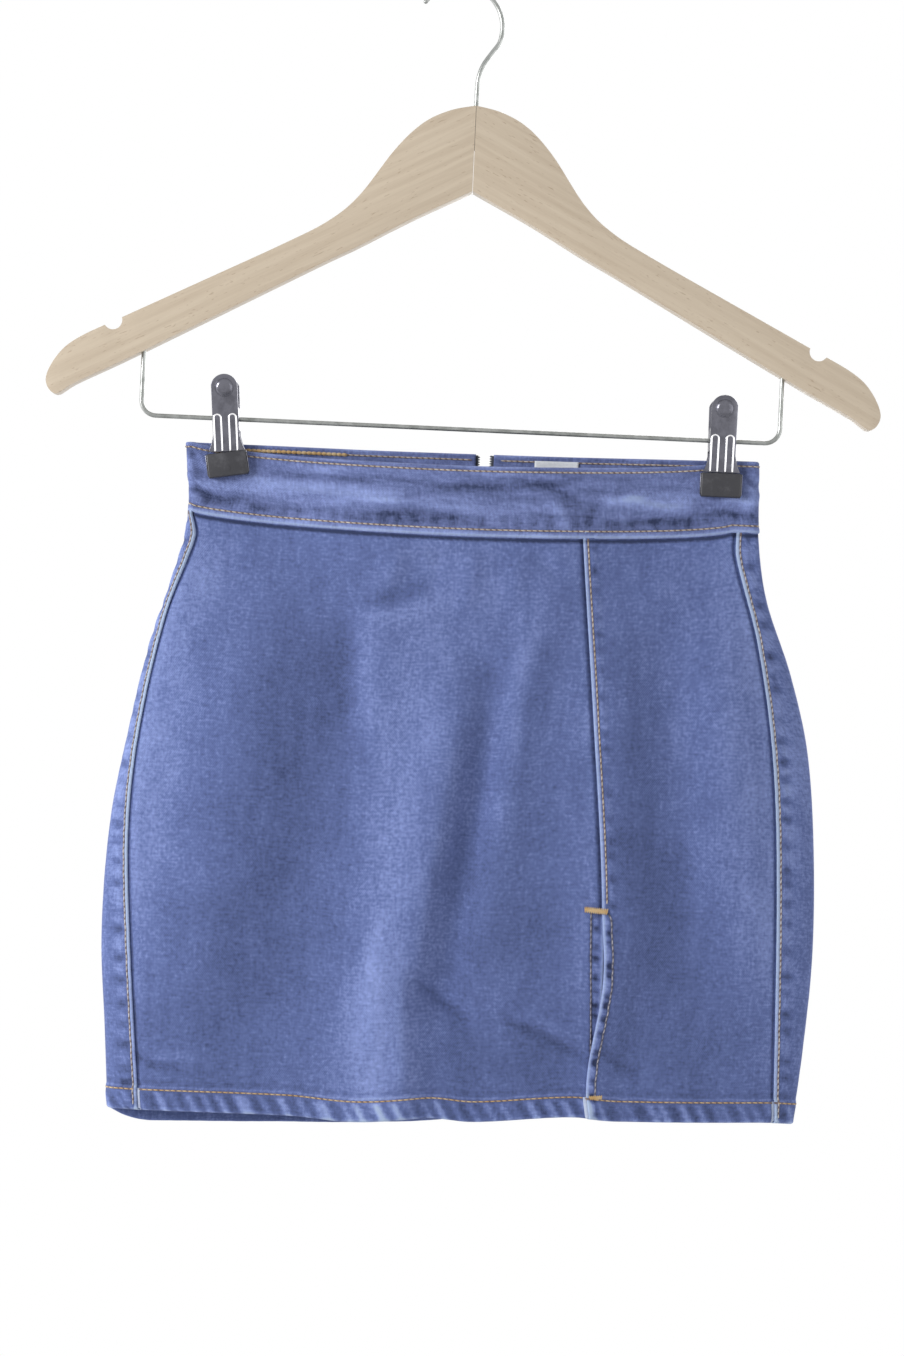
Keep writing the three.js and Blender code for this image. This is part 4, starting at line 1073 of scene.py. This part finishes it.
# A bartack: close threads side by side across a short line.
def makeBartack(name, centre, across, normal, wide, high, count):
    centre, across, normal = (np.array(v, float) for v in (centre, across, normal))
    along = np.cross(normal, across)
    shape = np.zeros((count, 3, 4))
    for i in range(count):
        share = (i + 0.5) / count - 0.5
        tip = 1 if i % 2 else -1
        lean = along + tip * 0.12 * across
        shape[i, :, 0] = across * wide / count * 0.75
        shape[i, :, 1] = normal * 0.32
        shape[i, :, 2] = lean * high / 2
        shape[i, :, 3] = (centre + across * share * wide + normal * (0.3 - 1.2 * share * share)
                          + along * tip * 0.15)
    rails = np.zeros((1, 3, 4))
    rails[0, :, 0], rails[0, :, 1], rails[0, :, 2] = along * high * 0.32, normal * 0.28, across * wide * 0.49
    rails[0, :, 3] = centre + normal * 0.12
    makeThreads(name, [shape, rails], goldThread)


def onShell(name, distance, height, fromLast=False):
    line, normal = lineDown(name, distance, height + 1.2, height - 1.2, fromLast)
    return line.mean(axis=0), normal.mean(axis=0)


def makeBartacks():
    left, leftUp = onShell("front_panel", 11.2, skirt["slitTop"] - 1.6, True)
    right, rightUp = onShell("side_front_panel", 3.2, skirt["slitTop"] - 1.6)
    up = (leftUp + rightUp) / np.linalg.norm(leftUp + rightUp)
    across = (right - left) / np.linalg.norm(right - left)
    centre = (left + right) / 2 + up * 0.75
    makeBartack("bartack_slit", centre, across, up, 12.2, 3.4, 22)
    low, lowUp = onShell("side_front_panel", 4.2, skirt["hemLine"] + 11.6)
    makeBartack("bartack_hem", low + lowUp * 0.35, np.array([0.99, 0, 0.1]), lowUp, 8.6, 2.4, 16)


makeSeamThreads()
makeBandThreads()
makeBartacks()
print("stitches made")

# Label inside the back of the waistband, blank.

label = {"left": 52, "right": 76, "top": -250.3, "bottom": -266, "thick": 0.4, "out": -2.6}


def makeLabel():
    heights = np.linspace(label["top"], label["bottom"], 16)
    x = np.linspace(label["left"], label["right"], 24)
    height, across = np.meshgrid(heights, x, indexing="ij")
    ripple = np.sin((across - label["left"]) / 3.4)
    curl = 0.5 * ease(label["bottom"] + 6, label["bottom"], height) + 0.15 * ripple
    points = clothPoint(backAngle(across, height), height, label["out"] - curl)
    flat = np.zeros(height.shape)
    mesh = gridMesh("inner_label_cloth", points, across, height, flat, flat)
    piece = linkObject("inner_label_cloth", mesh, [labelCloth, labelCloth], replaced=["inner_label"])
    addThickness(piece, label["thick"])
    return piece


innerLabel = makeLabel()

# Zip: two tapes, coils of teeth, slider, pull tab and bottom stop.

zipLook = {
    "tapeTop": -248.3, "tapeBottom": -424, "width": 1.9, "bandWidth": 1.0, "thick": 0.5, "toothPitch": 1.3,
    "toothOut": -0.5, "tooth": (1.05, 0.72, 0.5), "stops": [0, 0.9, 1.9, 2.6, 4, 7, 11],
}


def makeTape(name, sign):
    heights = np.linspace(zipLook["tapeTop"], zipLook["tapeBottom"], 90)
    stops = np.array(zipLook["stops"])
    height, stop = np.meshgrid(heights, stops if sign > 0 else stops[::-1], indexing="ij")
    inBand = height > skirt["bandBottom"]
    reach = np.where(inBand, np.minimum(stop, 4), stop)
    width = np.where(inBand, zipLook["bandWidth"], zipLook["width"])
    x = skirt["zipMiddle"] + sign * (zipOpen(height) - skirt["seamGap"] - width + reach)
    out = np.where(inBand, -0.7, -0.7 - 0.7 * ease(1.9, 2.7, stop))
    if sign > 0:
        x, out, stop, height = x[:, ::-1], out[:, ::-1], stop[:, ::-1], height[:, ::-1]
    points = clothPoint(backAngle(x, height), height, out)
    flat = np.zeros(height.shape)
    mesh = gridMesh(name + "_cloth", points, stop * sign, height, flat, flat)
    piece = linkObject(name + "_cloth", mesh, [tapeCloth, tapeCloth], replaced=[name])
    addThickness(piece, zipLook["thick"])
    return piece


def makeTeeth():
    shapes = []
    for sign in (-1, 1):
        heights = np.arange(zipLook["tapeTop"] - 1, skirt["zipBottom"] + 2, -zipLook["toothPitch"])
        heights = heights + (0 if sign < 0 else zipLook["toothPitch"] / 2)
        width = np.where(heights > skirt["bandBottom"], zipLook["bandWidth"], zipLook["width"])
        x = skirt["zipMiddle"] + sign * (zipOpen(heights) - skirt["seamGap"] - width)
        shape = np.zeros((len(heights), 3, 4))
        shape[:, 0, 0], shape[:, 1, 1], shape[:, 2, 2] = zipLook["tooth"]
        shape[:, :, 3] = clothPoint(backAngle(x, heights), heights, zipLook["toothOut"])
        shapes.append(shape)
    teeth = makeThreads("zip_teeth", shapes, tapeCloth)


# A CAD node's own shape with its edges rounded off.
def roundedCopy(node, name, material, body, width, segments=2):
    bm = bmesh.new()
    bm.from_mesh(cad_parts[node].data)
    bmesh.ops.remove_doubles(bm, verts=bm.verts, dist=1e-6)
    bmesh.ops.dissolve_limit(bm, angle_limit=math.radians(1), verts=bm.verts, edges=bm.edges)
    sharp = [edge for edge in bm.edges if edge.is_manifold and edge.calc_face_angle() > math.radians(40)]
    bmesh.ops.bevel(bm, geom=sharp, offset=width * 0.001, affect="EDGES", segments=segments, profile=0.5,
                    material=-1, clamp_overlap=True)
    bmesh.ops.triangulate(bm, faces=[face for face in bm.faces if len(face.verts) > 4])
    bmesh.ops.recalc_face_normals(bm, faces=bm.faces)
    mesh = meshFrom(bm, name)
    smoothShaded(mesh, 50)
    return linkObject(name, mesh, [material], body, [node])


tapes = [makeTape("zip_tape_left", -1), makeTape("zip_tape_right", 1)]
makeTeeth()
roundedCopy("zip_slider", "zip_slider_metal", zipNickel, "root", 0.3)
roundedCopy("zip_pull_tab", "zip_pull_tab_metal", zipNickel, "pull_tab", 0.25)
roundedCopy("zip_bottom_stop", "zip_bottom_stop_metal", zipNickel, "root", 0.25)
print("label and zip made")

# The wooden hanger with its wire hook and bar.

hanger = {
    "middle": 11.6, "thick": 12, "edge": 2.2, "edgeSteps": 4, "joint": 0.1, "perSpan": 10,
    "notchReach": 188, "notchHeight": -186.6, "notchRadius": 5, "wire": 1.2, "wireSides": 16,
    "hookRadius": 22.7, "hookTip": 146, "hookEnd": -4,
    "barMiddle": 10.8, "barHalf": 170.5, "barHeight": -236, "barCorner": 8, "legTop": -192,
}
# Reach from the middle, top and bottom edge of an arm.
armRows = [
    (0, -64, -109.5), (14, -67.2, -116.6), (28, -74.6, -123.8), (42, -89, -131.5), (60, -114.4, -141.8),
    (76, -128.8, -150.2), (100, -142.4, -163.3), (140, -162.9, -185.2), (180, -183.3, -206.9),
    (206, -196.8, -220.4), (217, -207, -227),
]
armTip = (222.3, -219.5)
hookNeck = [(22.4, -29), (18.6, -34.6), (14.2, -41.5), (12, -49), (11.6, -58), (11.6, -72), (11.6, -86)]


def curveThrough(points, perSpan):
    points = np.array(points, float)
    padded = np.concatenate([points[:1], points, points[-1:]])
    line = []
    for i in range(len(points) - 1):
        a, b, c, d = padded[i:i + 4]
        for t in np.arange(perSpan) / perSpan:
            line.append(0.5 * (2 * b + (c - a) * t + (2 * a - 5 * b + 4 * c - d) * t ** 2
                               + (3 * b - a - 3 * c + d) * t ** 3))
    line.append(points[-1])
    return np.array(line)


# A flat plate cut to an outline in X and Z, as thick as told about y 0.
def cutPlate(outline, thick):
    bm = bmesh.new()
    corners = [bm.verts.new((x, -thick / 2, z)) for x, z in outline]
    face = bm.faces.new(corners)
    made = bmesh.ops.extrude_face_region(bm, geom=[face])
    moved = [item for item in made["geom"] if isinstance(item, bmesh.types.BMVert)]
    bmesh.ops.translate(bm, verts=moved, vec=(0, thick, 0))
    bmesh.ops.recalc_face_normals(bm, faces=bm.faces)
    return bm


def rimEdges(bm, isRim=lambda edge: True):
    rims = []
    for edge in bm.edges:
        level = abs(edge.verts[0].co.y - edge.verts[1].co.y) < 1e-4
        if level and edge.calc_face_angle(0) > math.radians(60) and isRim(edge):
            rims.append(edge)
    return rims


def bevelled(bm, edges, width, segments):
    bmesh.ops.bevel(bm, geom=edges, offset=width, affect="EDGES", segments=segments, profile=0.5,
                    material=-1, clamp_overlap=True)


def meshOf(bm, name, matrix=toFrame, degrees=180):
    bmesh.ops.triangulate(bm, faces=[face for face in bm.faces if len(face.verts) > 4])
    bmesh.ops.recalc_face_normals(bm, faces=bm.faces)
    bmesh.ops.transform(bm, matrix=matrix, verts=bm.verts)
    mesh = meshFrom(bm, name)
    smoothShaded(mesh, degrees)
    return mesh


# The outline with the strap notch cut out of its top edge.
def notched(line, centre, radius):
    away = np.hypot(line[:, 0] - centre[0], line[:, 1] - centre[1])
    inside = np.where(away < radius)[0]
    first, last = inside[0], inside[-1]

    def crossing(within, beyond):
        share = (radius - away[within]) / (away[beyond] - away[within])
        return line[within] + (line[beyond] - line[within]) * share

    start, end = crossing(first, first - 1), crossing(last, last + 1)
    whole = 2 * math.pi
    startTurn, endTurn = (math.atan2(z - centre[1], x - centre[0]) % whole for x, z in (start, end))
    if start[0] < end[0] and endTurn < startTurn:
        endTurn += whole
    if start[0] >= end[0] and endTurn >= startTurn:
        endTurn -= whole
    turns = np.linspace(startTurn, endTurn, 15)
    arc = np.stack([centre[0] + radius * np.cos(turns), centre[1] + radius * np.sin(turns)], axis=1)
    return np.concatenate([line[:first], arc, line[last + 1:]])


def makeArm(name, sign, material):
    side = lambda reach, height: (hanger["middle"] + sign * max(hanger["joint"], reach), height)
    top = [side(reach, high) for reach, high, low in armRows]
    bottom = [side(reach, low) for reach, high, low in armRows]
    line = curveThrough([*top, side(*armTip), *bottom[::-1]], hanger["perSpan"])
    centre = (hanger["middle"] + sign * hanger["notchReach"], hanger["notchHeight"])
    line = notched(line, centre, hanger["notchRadius"])
    bm = cutPlate(line, hanger["thick"])
    joint = hanger["middle"] + sign * hanger["joint"]
    onJoint = lambda edge: all(abs(vert.co.x - joint) < 0.02 for vert in edge.verts)
    bevelled(bm, rimEdges(bm, lambda edge: not onJoint(edge)), hanger["edge"], hanger["edgeSteps"])
    mesh = meshOf(bm, name + "_wood", degrees=35)
    linkObject(name + "_wood", mesh, [material], replaced=[name])


# A round wire along a line, its ends rounded.
def wireAlong(points, radius, sides, rounded=True):
    points = np.array(points, float)
    tangents = np.gradient(points, axis=0)
    tangents /= np.linalg.norm(tangents, axis=1, keepdims=True)
    scale = np.ones(len(points))
    if rounded:
        steps = np.radians([75, 50, 25])
        points = np.concatenate([points[0] - np.outer(np.sin(steps), tangents[0]) * radius, points,
                                 points[-1] + np.outer(np.sin(steps[::-1]), tangents[-1]) * radius])
        tangents = np.concatenate([np.tile(tangents[0], (3, 1)), tangents, np.tile(tangents[-1], (3, 1))])
        scale = np.concatenate([np.cos(steps), scale, np.cos(steps[::-1])])
    normal = Vector((0, 1, 0)) if abs(tangents[0][1]) < 0.9 else Vector((0, 0, 1))
    bm = bmesh.new()
    before = None
    for point, tangent, size in zip(points, tangents, scale):
        tangent = Vector(tangent)
        normal = (normal - tangent * normal.dot(tangent)).normalized()
        across = tangent.cross(normal)
        frameHere = Matrix((normal * size, across * size, tangent)).transposed().to_4x4()
        frameHere.translation = Vector(point)
        if before is None:
            made = bmesh.ops.create_circle(bm, segments=sides, radius=radius, matrix=frameHere)
            ring = list({edge for vert in made["verts"] for edge in vert.link_edges})
        else:
            made = bmesh.ops.extrude_edge_only(bm, edges=ring)["geom"]
            verts = [item for item in made if isinstance(item, bmesh.types.BMVert)]
            ring = [item for item in made if isinstance(item, bmesh.types.BMEdge)]
            ring = [edge for edge in ring if all(vert in set(verts) for vert in edge.verts)]
            bmesh.ops.transform(bm, matrix=frameHere @ before.inverted(), verts=verts)
        before = frameHere
    bmesh.ops.holes_fill(bm, edges=[edge for edge in bm.edges if edge.is_boundary], sides=0)
    return bm


def makeWire(name, line):
    bm = wireAlong([(x, 0, z) for x, z in line], hanger["wire"], hanger["wireSides"])
    linkObject(name + "_wire", meshOf(bm, name + "_wire"), [wireSteel], replaced=[name])


def makeHook():
    centreDrop = hanger["hookRadius"] - hanger["wire"]
    swing = math.radians(swingDegrees)
    centre = (centreDrop * math.sin(swing), -centreDrop * math.cos(swing))
    turns = np.radians(np.arange(hanger["hookTip"], hanger["hookEnd"] - 1, -15))
    bow = [(centre[0] + hanger["hookRadius"] * math.cos(a), centre[1] + hanger["hookRadius"] * math.sin(a))
           for a in turns]
    makeWire("hanger_hook", curveThrough(bow + hookNeck, 5))


def makeBar():
    path = []
    for sign in (-1, 1):
        x = hanger["barMiddle"] + sign * hanger["barHalf"]
        corner = hanger["barCorner"]
        leg = [(x, z) for z in np.linspace(hanger["legTop"], hanger["barHeight"] + corner, 6)]
        bends = np.radians(np.arange(10, 91, 10))
        bend = [(x - sign * corner * (1 - math.cos(a)), hanger["barHeight"] + corner * (1 - math.sin(a)))
                for a in bends]
        path += (leg + bend) if sign < 0 else (leg + bend)[::-1]
    makeWire("hanger_bar", path)


makeArm("hanger_arm_left", -1, woodLeft)
makeArm("hanger_arm_right", 1, woodRight)
makeHook()
makeBar()
print("hanger made")

# The two pinch clips.

clip = {
    "headRise": 17, "headRadius": 7.25, "waist": 7, "shoulder": -8, "flare": 10, "low": -17.0,
    "jawTop": -17.3, "jawBottom": -30.2, "jawWidth": 21.5, "jawFace": 3.2, "jawThick": 4.2, "jawEdge": 0.9,
    "plate": 1.2, "plateEdge": 0.35, "openDegrees": 7, "cheek": 0.45, "dimple": 1.3,
    "dimpleDrop": -2.4, "legBack": -0.9, "legHigh": 9.0,
    "button": 4.9, "buttonHigh": 1.4, "ribRadius": 0.55, "ribHalf": 1.9, "ribTop": 19.9, "ribLow": 0.6,
    "ribMiddles": (-4.3, 3.7), "flange": 0.8, "flangeHigh": 12, "flangeIn": 1.6,
    "coil": 4.6, "coilWire": 0.85, "coilTurns": 5, "coilHalf": 4.4,
}
clipPlaces = {"left": (-114.0, -236.8, -4.7, -5.0), "right": (150.7, -236.0, 0.0, 0.0)}


def clipOutline():
    high = -clip["low"]
    waist, flare, shoulder = clip["waist"], clip["flare"], clip["shoulder"] + high
    bend = [((1 - t) ** 2 * flare + 2 * t * (1 - t) * (waist + 1) + t * t * waist,
             2 * t * (1 - t) * 4 + t * t * shoulder) for t in np.linspace(0, 1, 10)]
    start = math.asin(waist / clip["headRadius"])
    head = [(clip["headRadius"] * math.sin(a), clip["headRise"] + high + clip["headRadius"] * math.cos(a))
            for a in np.linspace(start, -start, 21)]
    return bend + head + [(-x, z) for x, z in bend[::-1]]


def boxAt(width, depth, height, place, edge, segments=3):
    bm = bmesh.new()
    matrix = Matrix.Translation(place) @ Matrix.Diagonal((width, depth, height, 1))
    bmesh.ops.create_cube(bm, size=1, matrix=matrix)
    bevelled(bm, bm.edges[:], edge, segments)
    return bm


def joinedInto(bm, part, matrix=Matrix.Identity(4)):
    bmesh.ops.transform(part, matrix=matrix, verts=part.verts)
    mesh = meshFrom(part, "part")
    bm.from_mesh(mesh)
    bpy.data.meshes.remove(mesh)


# A domed button with a rim, turned about its own middle.
def buttonShape():
    bm = bmesh.new()
    radius, high = clip["button"], clip["buttonHigh"]
    profile = [(0, 1), (0.35, 0.97), (0.65, 0.82), (0.84, 0.52), (0.88, 0.36), (0.97, 0.42), (1, 0.22), (1, 0)]
    verts = [bm.verts.new((across * radius, 0, rise * high)) for across, rise in profile]
    edges = [bm.edges.new(pair) for pair in zip(verts, verts[1:])]
    bmesh.ops.spin(bm, geom=verts + edges, cent=(0, 0, 0), axis=(0, 0, 1), angle=2 * math.pi, steps=32,
                   use_merge=True)
    bmesh.ops.remove_doubles(bm, verts=bm.verts, dist=1e-4)
    bmesh.ops.recalc_face_normals(bm, faces=bm.faces)
    return bm


def ribLine(middle):
    half, top, low = clip["ribHalf"], clip["ribTop"], clip["ribLow"]
    left = [(middle - half, 0, z) for z in np.linspace(low, top - half, 5)]
    turns = np.radians(np.arange(165, 0, -15))
    bow = [(middle + half * math.cos(a), 0, top - half + half * math.sin(a)) for a in turns]
    right = [(middle + half, 0, z) for z in np.linspace(top - half, low, 5)]
    return left + bow + right


def makePlate(side, name, sign, clipMatrix):
    foot = Matrix.Translation((0, sign * (clip["jawFace"] + clip["jawThick"] / 2), clip["low"]))
    plateMatrix = clipMatrix @ foot @ Matrix.Rotation(-sign * math.radians(clip["openDegrees"]), 4, "X")
    bm = cutPlate(clipOutline(), clip["plate"])
    bevelled(bm, rimEdges(bm), clip["plateEdge"], 2)
    hubHigh = -clip["low"]
    reach = hubHigh * math.tan(math.radians(clip["openDegrees"])) + clip["jawFace"] + clip["jawThick"] / 2
    depth = reach - clip["flangeIn"]
    for across in (-1, 1):
        place = (across * (clip["waist"] - clip["flange"] / 2), -sign * depth / 2, hubHigh)
        joinedInto(bm, boxAt(clip["flange"], depth, clip["flangeHigh"], place, 0.3, 2))
    face = sign * clip["plate"] / 2
    name = f"clip_{side}_plate_{name}"
    mesh = meshOf(bm, name + "_steel", toFrame @ plateMatrix, 40)
    linkObject(name + "_steel", mesh, [clipSteel], replaced=[name])

    bright = bmesh.new()
    for middle in clip["ribMiddles"]:
        rib = wireAlong(ribLine(middle), clip["ribRadius"], 8)
        joinedInto(bright, rib, Matrix.Translation((0, face, 0)))
    mesh = meshOf(bright, name + "_ribs", toFrame @ plateMatrix)
    linkObject(name + "_ribs", mesh, [clipBright])

    middle = Matrix.Translation((0, face, clip["headRise"] + hubHigh))
    turn = middle @ Matrix.Rotation(-sign * math.pi / 2, 4, "X")
    mesh = meshOf(buttonShape(), name + "_button", toFrame @ plateMatrix @ turn, 50)
    linkObject(name + "_button", mesh, [clipSteel])


def makeJaw(side, name, sign, clipMatrix, lean):
    middle = sign * (clip["jawFace"] + clip["jawThick"] / 2)
    high = clip["jawTop"] - clip["jawBottom"]
    centre = (clip["jawTop"] + clip["jawBottom"]) / 2
    clipMatrix = clipMatrix @ Matrix.Translation((0, middle, centre))
    clipMatrix = clipMatrix @ Matrix.Rotation(math.radians(lean), 4, "Y")
    bm = boxAt(clip["jawWidth"], clip["jawThick"], high, (0, 0, 0), clip["jawEdge"])
    name = f"clip_{side}_jaw_{name}"
    dimple = bmesh.new()
    turn = Matrix.Translation((0, sign * clip["jawThick"] / 2, clip["dimpleDrop"]))
    turn = turn @ Matrix.Rotation(math.pi / 2, 4, "X")
    bmesh.ops.create_cone(dimple, cap_ends=True, segments=20, radius1=clip["dimple"],
                          radius2=clip["dimple"], depth=0.4)
    bevelled(dimple, rimEdges(dimple), 0.15, 2)
    joinedInto(bm, dimple, turn)
    mesh = meshOf(bm, name + "_rubber", toFrame @ clipMatrix, 60)
    linkObject(name + "_rubber", mesh, [jawRubber], replaced=[name])
    cheeks = bmesh.new()
    for across in (-1, 1):
        place = (across * (clip["jawWidth"] + clip["cheek"]) / 2, 0, 0.4)
        joinedInto(cheeks, boxAt(clip["cheek"], clip["jawThick"] - 1.2, high - 1.6, place, 0.2, 2))
    mesh = meshOf(cheeks, name + "_cheeks", toFrame @ clipMatrix, 50)
    linkObject(name + "_cheeks", mesh, [clipSteel])


def makeSpring(side, clipMatrix):
    turns = clip["coilTurns"]
    angle = np.linspace(0, 2 * np.pi * turns, 24 * turns + 1)
    x = np.linspace(-clip["coilHalf"], clip["coilHalf"], len(angle))
    coil = np.stack([x, -clip["coil"] * np.cos(angle), clip["coil"] * np.sin(angle)], axis=1)
    startLeg = coil[0] + np.outer(np.linspace(1, 0.1, 5), (0, clip["legBack"], -clip["legHigh"]))
    endLeg = coil[-1] + np.outer(np.linspace(0.1, 1, 5), (0, clip["legBack"], clip["legHigh"]))
    bm = wireAlong(np.concatenate([startLeg, coil, endLeg]), clip["coilWire"], 8)
    name = f"clip_{side}_spring"
    mesh = meshOf(bm, name + "_coil", toFrame @ clipMatrix)
    linkObject(name + "_coil", mesh, [wireSteel], replaced=[name])


for side, (x, z, lean, jawLean) in clipPlaces.items():
    clipMatrix = Matrix.Translation((x, 0, z)) @ Matrix.Rotation(math.radians(lean), 4, "Y")
    for name, sign in (("front", -1), ("back", 1)):
        makePlate(side, name, sign, clipMatrix)
        makeJaw(side, name, sign, clipMatrix, jawLean)
    makeSpring(side, clipMatrix)
print("clips made")

# Camera, light and a plain pale floor.

view = {"place": (-0.0043, -1.8, -0.3689), "lens": 89.55, "sensor": 36}
lights = {
    "key": {"place": (-1.9, -1.25, 0.25), "size": 1.0, "power": 46},
    "fill": {"place": (1.7, -1.5, -0.2), "size": 1.6, "power": 7},
    "wallLeft": {"place": (-1.6, 0.1, -0.4), "size": 1.6, "power": 9},
    "wallRight": {"place": (1.6, 0.1, -0.4), "size": 1.6, "power": 9},
    "back": {"place": (0.8, 1.9, 0.3), "size": 1.4, "power": 26},
}
room = {"seen": 1.0, "glow": 0.30, "floorHeight": -1.0, "floorRadius": 1.3, "floorColour": (0.8, 0.8, 0.8)}


def aimed(thing, place, target=(0, 0, -0.35)):
    thing.location = place
    thing.rotation_euler = (Vector(target) - Vector(place)).to_track_quat("-Z", "Y").to_euler()


def makeCamera():
    camera = bpy.data.objects.new("camera", bpy.data.cameras.new("camera"))
    bpy.context.scene.collection.objects.link(camera)
    camera.location = view["place"]
    camera.rotation_euler = (math.pi / 2, 0, 0)
    camera.data.lens = view["lens"]
    camera.data.sensor_width = view["sensor"]
    bpy.context.scene.camera = camera


def makeLights():
    for name, plan in lights.items():
        data = bpy.data.lights.new(name, "AREA")
        data.energy, data.size = plan["power"], plan["size"]
        lamp = bpy.data.objects.new(name, data)
        bpy.context.scene.collection.objects.link(lamp)
        aimed(lamp, plan["place"])


def makeWorld():
    world = bpy.data.worlds.new("room")
    bpy.context.scene.world = world
    world.use_nodes = True
    tree = world.node_tree
    tree.nodes.clear()
    path = addNode(tree, "ShaderNodeLightPath").outputs
    seen = calc(tree, "MAXIMUM", path["Is Camera Ray"], path["Is Glossy Ray"])
    power = addNode(tree, "ShaderNodeMapRange",
                    {"Value": seen, "To Min": room["glow"], "To Max": room["seen"]})
    glow = addNode(tree, "ShaderNodeBackground", {"Color": (1, 1, 1, 1), "Strength": power.outputs[0]})
    out = addNode(tree, "ShaderNodeOutputWorld")
    tree.links.new(glow.outputs[0], out.inputs["Surface"])


def makeFloor():
    bm = bmesh.new()
    bmesh.ops.create_circle(bm, cap_ends=True, segments=64, radius=room["floorRadius"])
    bmesh.ops.translate(bm, verts=bm.verts, vec=(0, 0, room["floorHeight"]))
    mesh = meshFrom(bm, "floor")
    floor = bpy.data.objects.new("floor", mesh)
    bpy.context.scene.collection.objects.link(floor)
    material, tree, shader = newMaterial("floorPaint", room["floorColour"])
    feed(tree, shader, {"Base Color": (*room["floorColour"], 1), "Roughness": 0.9})
    mesh.materials.append(material)


makeCamera()
makeLights()
makeWorld()
makeFloor()
bpy.context.scene.view_settings.view_transform = "Standard"
print("camera and light set")
